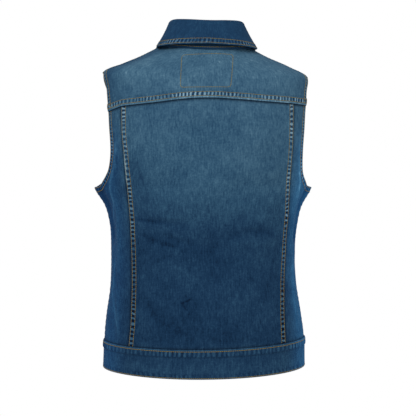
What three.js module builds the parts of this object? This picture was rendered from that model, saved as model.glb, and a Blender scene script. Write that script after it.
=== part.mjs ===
// A woman's sleeveless denim jacket, buttoned up and in the shape it has when worn, with nobody in it.
// Millimetres. +Z is up, +Y is the back of the garment and +X the wearer's left.
// Heights are worked out from the hem, and the finished group is lowered so that the origin lies
// midway between the two points where the shoulder seams meet the collar.
//
// Every piece of cloth is cut from one form. A place on it is a turn and a level: the turn goes round
// the body from the middle of the back (0) past the sides (90 and -90) to the middle of the front (180),
// and the level goes up the side seam, over the point of the shoulder and in along it to the neck.
import * as THREE from "three";

const CLOTH = 1.5; // wall of one panel
const SEAM_GAP = 0.3; // between two pieces that are sewn together
const LAP_RISE = 1.0; // a felled seam stands this far above the panel
const YOKE_LAP = 12; // from the yoke's folded edge to past its second row of stitches
const BACK_LAP = 14; // the same on the seams down the back
const LAP_SLOPE = 1.2; // width of the step down from a felled seam

const UNDERARM = 312; // level of the bottom of the armhole
const SHOULDER_POINT = 513; // level of its top
const NECK = 626; // level of the neck seam
const NECK_POINT_HEIGHT = 559; // of the shoulder seam's inner end above the hem
const BAND_HEIGHT = 46; // of the waistband
const BAND_CLOTH = 2.4; // two layers
const BAND_END_TURN = 184.6; // its ends pass the middle of the front
const ARMHOLE_BEND = 15; // places from an armhole's end to where it turns upright, out of 60
const PLACKET_WIDTH = 32;
const PLACKET_COVER = 2; // the buttonhole side is this much wider at each edge
const COLLAR_CLOTH = 2.2;
const COLLAR_FOLD_RADIUS = 3.4;
const COLLAR_BASE_RISE = 2.6; // clear of the panels' neck edge
const COLLAR_END_TURN = 170;
const BUTTON_RADIUS = 8.5;
const BUTTON_HEIGHT = 3.2;
const BUTTON_GAP = 0.4; // from the cloth, which curves away under it
const BUTTON_LEVELS = [96, 186, 276, 366, 470];

// The form's rings. side, back and front are heights above the hem. half is the half width, backDeep and
// frontDeep are the depths. box is 2 for an ellipse, less for pointed sides, and more for square ones.
// sway moves a ring to the wearer's left, and tilt lifts its right side and lowers its left one.
const SECTIONS = table(
  ["level", "side", "back", "front", "half", "backDeep", "frontDeep", "box", "sway", "tilt"],
  [
    [0, 5.5, -1.2, 2, 174, 103, 103, 2.15, -1, 2],
    [48, 53.5, 48, 49, 172.5, 105, 104, 2.15, -1, 3.5],
    [86, 89, 86, 86, 169.5, 106, 103, 2.15, 0, 2.5],
    [133, 133, 133, 133, 162.7, 103, 100, 2.2, 1, 1],
    [195, 195, 195, 195, 159, 97, 98, 2.2, 2, 0],
    [255, 255, 255, 255, 163, 101, 110, 2.15, 2, 0],
    [285, 286.5, 285, 285, 171, 105, 117, 1.95, 2.3, 1],
    [312, 317, 312, 312, 188, 108, 121, 1.7, 2.8, 2],
    [345, 347, 344, 341, 180, 109, 121, 1.95, 1, 1],
    [385, 385, 383, 375, 176, 108, 116, 2.15, -0.3, 0],
    [435, 434, 432, 412, 176.5, 104, 106, 2.25, -0.3, 0],
    [480, 480, 474, 442, 178, 97, 96, 2.25, 0.5, -0.5],
    [513, 509.2, 503, 462, 177, 89, 91, 2.2, 1, -1.5],
    [547, 525.5, 521, 473, 145, 80, 88, 2.15, 0.3, -0.6],
    [588, 540.8, 536, 482, 108, 71, 86, 2.1, 0.6, -0.6],
    [626, 559, 548, 490, 75, 64, 84, 2.05, 1, -0.4],
  ],
);

// How far the two seams that run down the back lie to the left and the right of the middle plane, out
// to their folded edges.
const BACK_SEAM = table(
  ["level", "left", "right"],
  [
    [48, 128.6, 132],
    [97, 125.2, 129.5],
    [140, 124.4, 129.8],
    [184, 125, 131.3],
    [228, 126.2, 133.6],
    [272, 129.2, 137],
    [316, 134.2, 138],
    [360, 138.7, 139.9],
    [405, 142.7, 142.3],
    [450, 144.3, 143.2],
  ],
);

// The yoke's lower edge, which hangs lowest at the left armhole.
const YOKE_EDGE = table(
  ["turn", "level"],
  [
    [-75, 458.2],
    [-55, 458.5],
    [-40, 459.6],
    [-28, 461],
    [-14, 463.8],
    [-3, 465.4],
    [5, 464.7],
    [14, 462.2],
    [28, 456.2],
    [42, 452.2],
    [52, 449.5],
    [60, 445.8],
    [68, 442.8],
    [75, 440.5],
  ],
);

// The largest folds, each a soft ridge or, with a negative height, a trough from one place to another.
const FOLDS = [
  { from: [77, 312], to: [76, 225], width: 13, height: -4.5 },
  { from: [-77, 312], to: [-76, 225], width: 13, height: -5 },
  { from: [61, 350], to: [63, 200], width: 8, height: 2.2 },
  { from: [-62, 345], to: [-64, 205], width: 8, height: 2 },
  { from: [41, 262], to: [12, 254], width: 9, height: -1.8 },
  { from: [30, 226], to: [-6, 214], width: 11, height: -1.6 },
  { from: [-12, 232], to: [-42, 246], width: 10, height: -1.6 },
  { from: [36, 118], to: [12, 74], width: 10, height: -1.8 },
  { from: [112, 300], to: [150, 250], width: 14, height: -2.5 },
  { from: [-110, 305], to: [-148, 262], width: 14, height: -2.5 },
  { from: [120, 205], to: [160, 196], width: 11, height: -2 },
  { from: [-122, 198], to: [-158, 208], width: 11, height: -2 },
];
const FOLD_MM_PER_DEGREE = 2.5; // round the body, for measuring folds

// The collar at places round the neck, the same on both sides. The fold is measured from the neck seam,
// and the outer edge lies over the form at edgeTurn and edgeLevel, lifted off it and raised. bulge is how
// far the cloth between them stands out from a straight line.
const COLLAR = table(
  ["turn", "foldUp", "foldOut", "edgeTurn", "edgeLevel", "edgeLift", "edgeRise", "bulge"],
  [
    [0, 47, -9, 0, 588, 3.5, 17, 0.5],
    [30, 47.5, -8, 30, 591, 3.5, 13.5, 0.3],
    [60, 43.2, -8, 60, 602, 3, 6, -0.8],
    [80, 38.2, -12, 78, 614, 3, 1, -1.5],
    [90, 35, -14, 88, 615, 3.2, 0, 0],
    [120, 24, -9, 116, 590, 4.5, 0, 4],
    [150, 16, -3, 145, 542, 4.5, 0, 5],
    [170, 9, 1.5, 158, 496, 5.5, 0, 3],
  ],
);

const COLOURS = { denim: 0x2f5577, collar: 0x2a4c74, button: 0x8a8275 };
const denim = (colour) => new THREE.MeshStandardMaterial({ color: colour, roughness: 0.9, metalness: 0 });
const metal = new THREE.MeshStandardMaterial({ color: COLOURS.button, roughness: 0.35, metalness: 0.9 });

// Rows of numbers as one list for each named column.
function table(names, rows) {
  return Object.fromEntries(names.map((name, i) => [name, rows.map((row) => row[i])]));
}

// A smooth curve through a column, with slopes taken from the rows on both sides.
function curve(at, values, x) {
  const last = at.length - 1;
  const here = Math.min(Math.max(x, at[0]), at[last]);
  const i = Math.min(Math.max(at.findIndex((a) => a > here) - 1, 0), last - 1) + (here === at[last] ? last - 1 : 0);
  const row = Math.min(i, last - 1);
  const rate = (k) => (values[k + 1] - values[k]) / (at[k + 1] - at[k]);
  const slope = (k) => {
    if (k === 0) return rate(0);
    if (k === last) return rate(last - 1);
    const before = at[k] - at[k - 1];
    const after = at[k + 1] - at[k];
    return (rate(k - 1) * after + rate(k) * before) / (before + after);
  };
  const step = at[row + 1] - at[row];
  const t = (here - at[row]) / step;
  return (
    (1 + 2 * t) * (1 - t) ** 2 * values[row] +
    t * (1 - t) ** 2 * step * slope(row) +
    t * t * (3 - 2 * t) * values[row + 1] +
    t * t * (t - 1) * step * slope(row + 1)
  );
}

function section(level) {
  const at = {};
  for (const name of Object.keys(SECTIONS)) at[name] = curve(SECTIONS.level, SECTIONS[name], level);
  return at;
}

// A point of the bare form.
function formPoint(turn, level) {
  const at = section(level);
  const angle = THREE.MathUtils.degToRad(turn);
  const s = Math.sin(angle);
  const c = Math.cos(angle);
  const k = (Math.abs(s) ** at.box + Math.abs(c) ** at.box) ** (-1 / at.box);
  const deep = c > 0 ? at.backDeep : at.frontDeep;
  const end = c > 0 ? at.back : at.front;
  return new THREE.Vector3(at.sway + at.half * s * k, deep * c * k, at.side * s * s + end * c * c - at.tilt * s);
}

function formNormal(turn, level) {
  const low = Math.max(level - 2, 0);
  const high = Math.min(level + 2, NECK);
  const round = formPoint(turn + 1, level).sub(formPoint(turn - 1, level));
  const up = formPoint(turn, high).sub(formPoint(turn, low));
  return up.cross(round).normalize();
}

const smoothStep = (x) => THREE.MathUtils.smoothstep(x, 0, 1);

// How far the folds push the cloth out at a place.
function foldHeight(turn, level) {
  let sum = 0;
  for (const { from, to, width, height } of FOLDS) {
    const across = [(to[0] - from[0]) * FOLD_MM_PER_DEGREE, to[1] - from[1]];
    const here = [(turn - from[0]) * FOLD_MM_PER_DEGREE, level - from[1]];
    const length = Math.hypot(...across);
    const along = (here[0] * across[0] + here[1] * across[1]) / length ** 2;
    const beside = (here[0] * across[1] - here[1] * across[0]) / length;
    const fade = smoothStep((along + 0.25) / 0.4) * smoothStep((1.25 - along) / 0.4);
    sum += height * fade * Math.exp(-((beside / width) ** 2));
  }
  return sum;
}

// A point of the cloth, out from its inner face.
function clothPoint(turn, level, out) {
  return formPoint(turn, level).addScaledVector(formNormal(turn, level), foldHeight(turn, level) + out);
}

// The turn at which the form is so far to the wearer's left, on the back or the front.
function turnAt(x, level, front = false) {
  const at = section(level);
  const share = (Math.abs(x - at.sway) / at.half) ** at.box;
  const turn = THREE.MathUtils.radToDeg(Math.atan((share / (1 - share)) ** (1 / at.box)));
  return (x < at.sway ? -1 : 1) * (front ? 180 - turn : turn);
}

// An edge that passes through places, as a function of the share of its length. It also tells at
// which share each of its corners lies.
function edge(places, corners = []) {
  const points = places.map(([turn, level]) => formPoint(turn, level));
  const reached = [0];
  for (let i = 1; i < points.length; i++) reached.push(reached[i - 1] + points[i].distanceTo(points[i - 1]));
  const length = reached[reached.length - 1];
  const at = (share) => {
    const goal = share * length;
    let i = 1;
    while (i < points.length - 1 && reached[i] < goal) i++;
    const t = THREE.MathUtils.clamp((goal - reached[i - 1]) / (reached[i] - reached[i - 1]), 0, 1);
    return [0, 1].map((k) => THREE.MathUtils.lerp(places[i - 1][k], places[i][k], t));
  };
  return { at, length, corners: corners.map((i) => reached[i] / length) };
}

// A run of places, from a function of a share.
function run(steps, place) {
  return Array.from({ length: steps + 1 }, (_, i) => place(i / steps));
}

// Shares from 0 to 1 that take in the marks, with about as many cells as asked.
function shares(cells, marks = []) {
  const stops = [0, ...[...marks].sort((a, b) => a - b), 1];
  const out = [0];
  for (let i = 1; i < stops.length; i++) {
    const n = Math.max(1, Math.round((stops[i] - stops[i - 1]) * cells));
    for (let k = 1; k <= n; k++) out.push(THREE.MathUtils.lerp(stops[i - 1], stops[i], k / n));
  }
  return out;
}

// The place inside four edges, by adding the two ruled surfaces and taking off the bilinear one.
function between({ bottom, top, left, right }, s, t) {
  const [b, u, l, r] = [bottom.at(s), top.at(s), left.at(t), right.at(t)];
  const corner = [bottom.at(0), bottom.at(1), top.at(0), top.at(1)];
  return [0, 1].map(
    (k) =>
      (1 - t) * b[k] + t * u[k] + (1 - s) * l[k] + s * r[k] -
      (1 - s) * (1 - t) * corner[0][k] - s * (1 - t) * corner[1][k] -
      (1 - s) * t * corner[2][k] - s * t * corner[3][k],
  );
}

// A closed wall between two layers of points that share their quads. Its rim runs along each side that
// only one quad has.
function wall(outer, inner, quads) {
  const sides = new Map();
  for (const quad of quads)
    quad.forEach((a, k) => {
      const b = quad[(k + 1) % 4];
      if (!sides.delete(b + " " + a)) sides.set(a + " " + b, [a, b]);
    });
  const back = outer.length;
  const all = [
    ...quads,
    ...quads.map((quad) => quad.map((i) => back + i).reverse()),
    ...[...sides.values()].map(([a, b]) => [b, a, back + a, back + b]),
  ];
  return closed([...outer, ...inner], all.flatMap(([a, b, c, d]) => [a, b, c, a, c, d]));
}

// A geometry from the rows of a grid of outer and inner points.
function gridWall(outer, inner) {
  const columns = outer[0].length;
  const quads = [];
  for (let j = 0; j < outer.length - 1; j++)
    for (let i = 0; i < columns - 1; i++) {
      const a = j * columns + i;
      quads.push([a, a + 1, a + columns + 1, a + columns]);
    }
  return wall(outer.flat(), inner.flat(), quads);
}

// A geometry from points and faces, turned so that its faces point outwards.
function closed(points, faces) {
  let volume = 0;
  for (let i = 0; i < faces.length; i += 3) {
    const [a, b, c] = [points[faces[i]], points[faces[i + 1]], points[faces[i + 2]]];
    volume += a.dot(new THREE.Vector3().crossVectors(b, c));
  }
  const index = volume > 0 ? faces : faces.toReversed();
  const geometry = new THREE.BufferGeometry();
  geometry.setAttribute("position", new THREE.Float32BufferAttribute(points.flatMap((p) => p.toArray()), 3));
  geometry.setIndex(index);
  geometry.computeVertexNormals();
  return geometry;
}

// A panel of cloth, as bands one above the other. Each band lies inside four edges, and its first row
// takes over the last row of the band below, from the column "skip" on and into the column "join".
// ridge(s, t) is how far its outer face stands above plain cloth.
function panel(bands, { base = 0, cloth = CLOTH } = {}) {
  const places = [];
  const rises = [];
  const quads = [];
  let last = [];
  for (const { edges, across, up, skip = 0, join = 0, ridge = () => 0 } of bands) {
    const shared = last.slice(skip);
    const rows = up.map((t, j) =>
      across.map((s, i) => {
        const old = j === 0 ? shared[i - join] : undefined;
        if (old !== undefined) return old;
        places.push(between(edges, s, t));
        rises.push(ridge(s, t));
        return places.length - 1;
      }),
    );
    for (let j = 0; j < rows.length - 1; j++)
      for (let i = 0; i < across.length - 1; i++)
        quads.push([rows[j][i], rows[j][i + 1], rows[j + 1][i + 1], rows[j + 1][i]]);
    last = rows[rows.length - 1];
  }
  const outer = places.map(([turn, level], i) => clothPoint(turn, level, base + cloth + rises[i]));
  const inner = places.map(([turn, level]) => clothPoint(turn, level, base));
  return wall(outer, inner, quads);
}

// Marks where a lap of some width along one side of an edge of some length begins and ends.
const lapMarks = (width, length) => [width / length, (width + LAP_SLOPE) / length];
const lapRise = (share, width, length) => LAP_RISE * smoothStep((width + LAP_SLOPE - share * length) / LAP_SLOPE);

const sideName = (side) => (side > 0 ? "left" : "right");
const halfGap = SEAM_GAP / 2;

// The turn of the back's or the front's edge at the side seam and the shoulder seam.
function sideTurn(level, front = false) {
  const deep = curve(SECTIONS.level, front ? SECTIONS.frontDeep : SECTIONS.backDeep, level);
  return 90 + (front ? 1 : -1) * THREE.MathUtils.radToDeg(halfGap / deep);
}

const yokeLevel = (turn) => curve(YOKE_EDGE.turn, YOKE_EDGE.level, turn);
const backSeamTurn = (side, level, shift) =>
  turnAt(side * (curve(BACK_SEAM.level, BACK_SEAM[sideName(side)], level) + shift), level);
const PANEL_FOOT = BAND_HEIGHT + halfGap;

// Places up the seam that runs down the back, between two levels.
function backSeam(side, shift, low, high) {
  return run(40, (q) => {
    const level = THREE.MathUtils.lerp(low, high, q);
    return [backSeamTurn(side, level, shift), level];
  });
}

// The level at which that seam meets the yoke.
function backSeamTop(side, shift) {
  let level = yokeLevel(side * 45);
  for (let i = 0; i < 12; i++) level = yokeLevel(backSeamTurn(side, level, shift)) - halfGap;
  return level;
}

// Places round the body from one place to another, at a level that depends on the turn.
function rung(from, to, level, steps = 40) {
  return run(steps, (q) => {
    const turn = THREE.MathUtils.lerp(from[0], to[0], q);
    return [turn, level(turn)];
  });
}

// Places up the side seam and along the shoulder seam.
function sideSeam(side, low, high, front = false) {
  return run(20, (q) => {
    const level = THREE.MathUtils.lerp(low, high, q);
    return [side * sideTurn(level, front), level];
  });
}

// Half an armhole, as places from the underarm to the point of the shoulder. It is a rounded oblong
// that is wider below than above.
function armhole(side, front) {
  const width = front ? [36, 30] : [25.5, 21];
  return run(60, (share) => {
    const angle = share * Math.PI;
    const power = front ? 1 : 0.56;
    const up = (1 - Math.sign(Math.cos(angle)) * Math.abs(Math.cos(angle)) ** power) / 2;
    const off = Math.sin(angle) ** power * THREE.MathUtils.lerp(width[0], width[1], up);
    const level = THREE.MathUtils.lerp(UNDERARM, SHOULDER_POINT, up);
    return [side * (sideTurn(level, front) + (front ? off : -off)), level];
  });
}

// The foot, the upright part and the top of half an armhole.
function armholeParts(side, front) {
  const places = armhole(side, front);
  const last = places.length - 1;
  return [
    places.slice(0, ARMHOLE_BEND + 1),
    places.slice(ARMHOLE_BEND, last - ARMHOLE_BEND + 1),
    places.slice(last - ARMHOLE_BEND),
  ];
}

// The upright part of the back's armhole below or above the yoke seam, which it meets at that seam's end.
function cutArmhole(side, above) {
  const places = armholeParts(side, false)[1];
  const over = ([turn, level]) => level - yokeLevel(turn) - (above ? halfGap : -halfGap);
  const cut = places.findIndex((place) => over(place) > 0);
  const [a, b] = [places[cut - 1], places[cut]];
  const t = -over(a) / (over(b) - over(a));
  const meet = [0, 1].map((k) => THREE.MathUtils.lerp(a[k], b[k], t));
  return above ? [meet, ...places.slice(cut)] : [...places.slice(0, cut), meet];
}

// Even cells on both sides of the place where an edge has its corner.
function columns(before, after, corner) {
  return [...run(before, (q) => q * corner), ...run(after, (q) => THREE.MathUtils.lerp(corner, 1, q)).slice(1)];
}

function addMesh(group, name, geometry, material) {
  const mesh = new THREE.Mesh(geometry, material);
  mesh.name = name;
  group.add(mesh);
  return mesh;
}

// Its lower edge is folded under and laps over the panels below.
function backYoke() {
  const [left, right] = [cutArmhole(1, true), cutArmhole(-1, true)];
  const [leftTop, rightTop] = [armholeParts(1, false)[2], armholeParts(-1, false)[2]];
  const seam = edge(rung(right[0], left[0], (turn) => yokeLevel(turn) + halfGap, 60));
  const middle = rung(right[right.length - 1], left[left.length - 1], () => leftTop[0][1], 60);
  const lower = { bottom: seam, top: edge(middle), left: edge(right), right: edge(left) };
  const [high, wide, ends] = [lower.left.length, 24, 3];
  const ridge = (s, t) => lapRise(t, YOKE_LAP, high);
  const bottom = edge(
    [...rightTop.toReversed(), ...middle.slice(1), ...leftTop.slice(1)],
    [ARMHOLE_BEND, ARMHOLE_BEND + 60],
  );
  const [first, second] = bottom.corners;
  const upper = {
    bottom,
    top: edge(rung([-sideTurn(NECK), NECK], [sideTurn(NECK), NECK], () => NECK, 60)),
    left: edge(sideSeam(-1, SHOULDER_POINT, NECK)),
    right: edge(sideSeam(1, SHOULDER_POINT, NECK)),
  };
  const across = [
    ...run(ends, (q) => q * first),
    ...run(wide, (q) => THREE.MathUtils.lerp(first, second, q)).slice(1),
    ...run(ends, (q) => THREE.MathUtils.lerp(second, 1, q)).slice(1),
  ];
  return panel([
    { edges: lower, across: shares(wide), up: shares(3, lapMarks(YOKE_LAP, high)), ridge },
    { edges: upper, across, up: shares(6), join: ends },
  ]);
}

// Its side edges are folded under and lap over the side panels.
function backPanel() {
  const [left, right] = [1, -1].map((side) =>
    edge(backSeam(side, -halfGap, PANEL_FOOT, backSeamTop(side, -halfGap))),
  );
  const bottom = edge(rung(right.at(0), left.at(0), () => PANEL_FOOT));
  const top = edge(rung(right.at(1), left.at(1), (turn) => yokeLevel(turn) - halfGap));
  const wide = top.length;
  const marks = lapMarks(BACK_LAP, wide);
  const ridge = (s) => Math.max(lapRise(s, BACK_LAP, wide), lapRise(1 - s, BACK_LAP, wide));
  const across = shares(14, [...marks, ...marks.map((m) => 1 - m)]);
  return panel([{ edges: { bottom, top, left: right, right: left }, across, up: shares(22), ridge }]);
}

function backSidePanel(side) {
  const foot = armholeParts(side, false)[0];
  const bend = foot[ARMHOLE_BEND];
  const upright = cutArmhole(side, false);
  const [below, above] = [
    backSeam(side, halfGap, PANEL_FOOT, bend[1]),
    backSeam(side, halfGap, bend[1], backSeamTop(side, halfGap)),
  ];
  const row = rung(below[40], bend, () => bend[1]);
  const top = edge([...row, ...foot.toReversed().slice(1)], [40]);
  const seam = sideSeam(side, PANEL_FOOT, UNDERARM);
  const [wide, ends] = [4, 4];
  const lower = { bottom: edge(rung(below[0], seam[0], () => PANEL_FOOT)), top, left: edge(below), right: edge(seam) };
  const upper = {
    bottom: edge(row),
    top: edge(rung(above[40], upright[upright.length - 1], (turn) => yokeLevel(turn) - halfGap)),
    left: edge(above),
    right: edge(upright),
  };
  return panel([
    { edges: lower, across: columns(wide, ends, top.corners[0]), up: shares(15) },
    { edges: upper, across: shares(wide), up: shares(7) },
  ]);
}

function frontPanel(side) {
  const [foot, upright, head] = armholeParts(side, true);
  const [low, high] = [upright[0][1], upright[upright.length - 1][1]];
  const placketSide = (from, to) =>
    run(20, (q) => {
      const level = THREE.MathUtils.lerp(from, to, q);
      return [turnAt(side * (PLACKET_WIDTH / 2 + SEAM_GAP), level, true), level];
    });
  const [below, beside, above] = [placketSide(PANEL_FOOT, low), placketSide(low, high), placketSide(high, NECK)];
  const lowRow = rung(upright[0], beside[0], () => low);
  const highRow = rung(upright[upright.length - 1], above[0], () => high);
  const seam = sideSeam(side, PANEL_FOOT, UNDERARM, true);
  const shoulder = sideSeam(side, SHOULDER_POINT, NECK, true);
  const lowTop = edge([...foot, ...lowRow.slice(1)], [ARMHOLE_BEND]);
  const highFoot = edge([...head.toReversed(), ...highRow.slice(1)], [ARMHOLE_BEND]);
  const lower = {
    bottom: edge(rung(seam[0], below[0], () => PANEL_FOOT)), top: lowTop, left: edge(seam), right: edge(below),
  };
  const middle = { bottom: edge(lowRow), top: edge(highRow), left: edge(upright), right: edge(beside) };
  const upper = {
    bottom: highFoot, top: edge(rung(shoulder[20], above[20], () => NECK)), left: edge(shoulder), right: edge(above),
  };
  const [wide, ends] = [9, 4];
  return panel([
    { edges: lower, across: columns(ends, wide, lowTop.corners[0]), up: shares(14) },
    { edges: middle, across: shares(wide), up: shares(8), skip: ends },
    { edges: upper, across: columns(ends, wide, highFoot.corners[0]), up: shares(7), join: ends },
  ]);
}

// A strip down the middle of the front, from the waistband to the neck.
function placket(width, base) {
  const side = (sign) =>
    edge(run(40, (q) => {
      const level = THREE.MathUtils.lerp(PANEL_FOOT, NECK, q);
      const turn = turnAt(sign * (width / 2), level, true);
      return [turn < 0 ? turn + 360 : turn, level];
    }));
  const [left, right] = [side(1), side(-1)];
  const bottom = edge([left.at(0), right.at(0)]);
  const top = edge([left.at(1), right.at(1)]);
  return panel([{ edges: { bottom, top, left, right }, across: shares(3), up: shares(26) }], { base });
}

// A strip once round the hem. Its buttonhole end, on the wearer's right, passes over the other one.
function waistband() {
  const turns = run(72, (q) => THREE.MathUtils.lerp(BAND_END_TURN, -BAND_END_TURN, q));
  const over = (turn) => (BAND_CLOTH + SEAM_GAP) * smoothStep((-turn - 158) / 14);
  const levels = [0, 0.12, 0.75, 1];
  const grid = (out) =>
    levels.map((q) => turns.map((turn) => clothPoint(turn, q * (BAND_HEIGHT - halfGap), over(turn) + out)));
  return gridWall(grid(BAND_CLOTH), grid(0));
}

// The middle line of the collar's cloth at one place round the neck: up from the neck seam, over the
// fold and down to the outer edge.
function collarLine(turn) {
  const at = {};
  for (const name of Object.keys(COLLAR)) at[name] = curve(COLLAR.turn, COLLAR[name], Math.abs(turn));
  const up = new THREE.Vector3(0, 0, 1);
  const neck = formPoint(turn, NECK);
  const outward = formNormal(turn, NECK).setZ(0).normalize();
  const base = neck.clone().addScaledVector(up, COLLAR_BASE_RISE);
  const fold = neck.clone().addScaledVector(up, at.foldUp - COLLAR_FOLD_RADIUS).addScaledVector(outward, at.foldOut);
  const edgeTurn = Math.sign(turn) * at.edgeTurn;
  const rim = formPoint(edgeTurn, at.edgeLevel)
    .addScaledVector(formNormal(edgeTurn, at.edgeLevel), at.edgeLift)
    .addScaledVector(up, at.edgeRise);
  const arc = run(5, (q) => {
    const angle = Math.PI * q;
    return fold.clone()
      .addScaledVector(outward, -COLLAR_FOLD_RADIUS * Math.cos(angle))
      .addScaledVector(up, COLLAR_FOLD_RADIUS * Math.sin(angle));
  });
  const out = formNormal(edgeTurn, (at.edgeLevel + NECK) / 2);
  const stand = run(3, (q) => base.clone().lerp(arc[0], q)).slice(0, -1);
  const fall = run(5, (q) => arc[5].clone().lerp(rim, q).addScaledVector(out, at.bulge * Math.sin(Math.PI * q)));
  return [...stand, ...arc, ...fall.slice(1)];
}

function collar() {
  const lines = run(36, (q) => collarLine(THREE.MathUtils.lerp(COLLAR_END_TURN, -COLLAR_END_TURN, q)));
  const [rows, columns] = [lines.length, lines[0].length];
  const normal = (j, i) => {
    const round = lines[Math.min(j + 1, rows - 1)][i].clone().sub(lines[Math.max(j - 1, 0)][i]);
    const along = lines[j][Math.min(i + 1, columns - 1)].clone().sub(lines[j][Math.max(i - 1, 0)]);
    return round.cross(along).normalize();
  };
  const grid = (out) => lines.map((line, j) => line.map((p, i) => p.clone().addScaledVector(normal(j, i), out)));
  return gridWall(grid(COLLAR_CLOTH / 2), grid(-COLLAR_CLOTH / 2));
}

// A domed metal button whose flat back lies on the cloth at the middle of the front.
function button(level, out) {
  const profile = [
    [0, 0],
    [BUTTON_RADIUS - 1, 0],
    [BUTTON_RADIUS, 0.8],
    [BUTTON_RADIUS - 0.4, BUTTON_HEIGHT - 0.8],
    [BUTTON_RADIUS - 2, BUTTON_HEIGHT],
    [BUTTON_RADIUS - 3, BUTTON_HEIGHT - 0.6],
    [0, BUTTON_HEIGHT - 0.2],
  ].map(([x, y]) => new THREE.Vector2(x, y));
  const geometry = new THREE.LatheGeometry(profile, 16);
  const middle = turnAt(0, level, true);
  const normal = formNormal(middle, level);
  geometry.applyQuaternion(new THREE.Quaternion().setFromUnitVectors(new THREE.Vector3(0, 1, 0), normal));
  const seat = clothPoint(middle, level, out + BUTTON_GAP);
  return geometry.translate(seat.x, seat.y, seat.z);
}

const vest = new THREE.Group();
vest.position.set(0, 0, -NECK_POINT_HEIGHT);
addMesh(vest, "back_yoke", backYoke(), denim(COLOURS.denim));
addMesh(vest, "back_panel", backPanel(), denim(COLOURS.denim));
for (const side of [1, -1]) {
  addMesh(vest, "back_side_panel_" + sideName(side), backSidePanel(side), denim(COLOURS.denim));
  addMesh(vest, "front_panel_" + sideName(side), frontPanel(side), denim(COLOURS.denim));
}
const overPlacket = CLOTH + SEAM_GAP;
addMesh(vest, "button_placket", placket(PLACKET_WIDTH, 0), denim(COLOURS.denim));
addMesh(vest, "buttonhole_placket", placket(PLACKET_WIDTH + 2 * PLACKET_COVER, overPlacket), denim(COLOURS.denim));
addMesh(vest, "waistband", waistband(), denim(COLOURS.denim));
addMesh(vest, "collar", collar(), denim(COLOURS.collar));
BUTTON_LEVELS.forEach((level, i) => {
  addMesh(vest, "button_" + (i + 1), button(level, overPlacket + CLOTH), metal);
});
addMesh(vest, "waistband_button", button(BAND_HEIGHT / 2, 2 * BAND_CLOTH + SEAM_GAP), metal);

export default vest;
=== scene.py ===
"""Looks of a woman's sleeveless denim jacket, in the hollow form it has when worn.

Lengths are millimetres above the hem until a mesh is made, which is in metres in the frame of the CAD
part: +Z up, +Y the back of the garment, +X the wearer's left, and the origin at the neck. Every cloth
piece is laid out by turn and level. The turn goes round the body from the middle of the back (0) past
the sides (90, -90) to the middle of the front (180). The level goes up the side seam, over the point
of the shoulder and in along it to the neck.
"""

import logging
import math
import sys
from collections.abc import Callable, Sequence
from dataclasses import dataclass, field
from enum import Enum
from typing import ClassVar

import bpy
import numpy as np
from mathutils import Matrix, Vector

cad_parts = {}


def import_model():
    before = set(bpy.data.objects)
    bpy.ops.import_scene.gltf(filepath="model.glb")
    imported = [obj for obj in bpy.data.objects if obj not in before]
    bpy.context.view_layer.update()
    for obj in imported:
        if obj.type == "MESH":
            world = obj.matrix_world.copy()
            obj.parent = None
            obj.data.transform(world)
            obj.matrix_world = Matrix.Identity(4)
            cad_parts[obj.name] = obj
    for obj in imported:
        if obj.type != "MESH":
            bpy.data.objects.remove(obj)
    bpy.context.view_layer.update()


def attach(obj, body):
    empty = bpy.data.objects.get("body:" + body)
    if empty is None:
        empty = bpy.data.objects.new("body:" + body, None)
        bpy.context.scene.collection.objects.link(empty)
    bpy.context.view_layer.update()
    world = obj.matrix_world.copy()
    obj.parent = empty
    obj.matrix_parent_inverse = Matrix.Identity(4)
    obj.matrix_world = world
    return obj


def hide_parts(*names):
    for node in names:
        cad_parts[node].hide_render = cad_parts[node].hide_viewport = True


LOG = logging.getLogger("denim_vest")
Array = np.ndarray

MM = 0.001
NECK_POINT_HEIGHT = 559.0
UNDERARM = 312.0
SHOULDER_POINT = 513.0
NECK = 626.0
BAND_HEIGHT = 46.0
ARMHOLE_BEND = 15
ARMHOLE_WIDTHS = {False: (25.5, 21.0), True: (36.0, 30.0)}
ARMHOLE_POWER = {False: 0.56, True: 1.0}
PLACKET_WIDTH = 32.0
PLACKET_COVER = 2.0
TUCK = 6.0
CLOTH = 1.2
LAP_BASE = 1.35
LAP_SLOPE = 1.4
LAP = {"outer": 1.65, "inner": LAP_BASE, "round_off": 0.9}
HEM = {"width": 10.5, "outer": 0.5, "inner": -0.4, "round_off": 0.8}
TUCKED_THIN = 0.55
THINNEST = 0.12
SIDE_GAP_TURN = 0.085
ARMHOLE_STEPS = 240
ARMHOLE_CORNER = ARMHOLE_STEPS * ARMHOLE_BEND // 60
FOOT = BAND_HEIGHT - TUCK
YOKE_ROWS = (3.6, 10.4)
SEAM_ROWS = (1.8, 8.8)
EDGE_ROWS = (2.0, 9.3)
PLACKET_ROWS = (2.0, 8.5)
BAND_ROW_LEVELS = (BAND_HEIGHT - 3.0, 2.0)
PLACKET_BASE = 1.6
BAND_END_TURN = 184.6
BUTTON_LEVELS = (96.0, 186.0, 276.0, 366.0, 470.0)
FOLD_MM_PER_DEGREE = 2.5
FAR = 99.0
NO_STRIP = 9
# Marks that the material reads: rubbing with painted shade, painted shadow, the ripples' count and place across
# the strip, and their strength as rubbed crests and painted troughs.
MARKS = ("worn", "shade", "run", "strip", "bead")
Colour = tuple[float, float, float, float]

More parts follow.
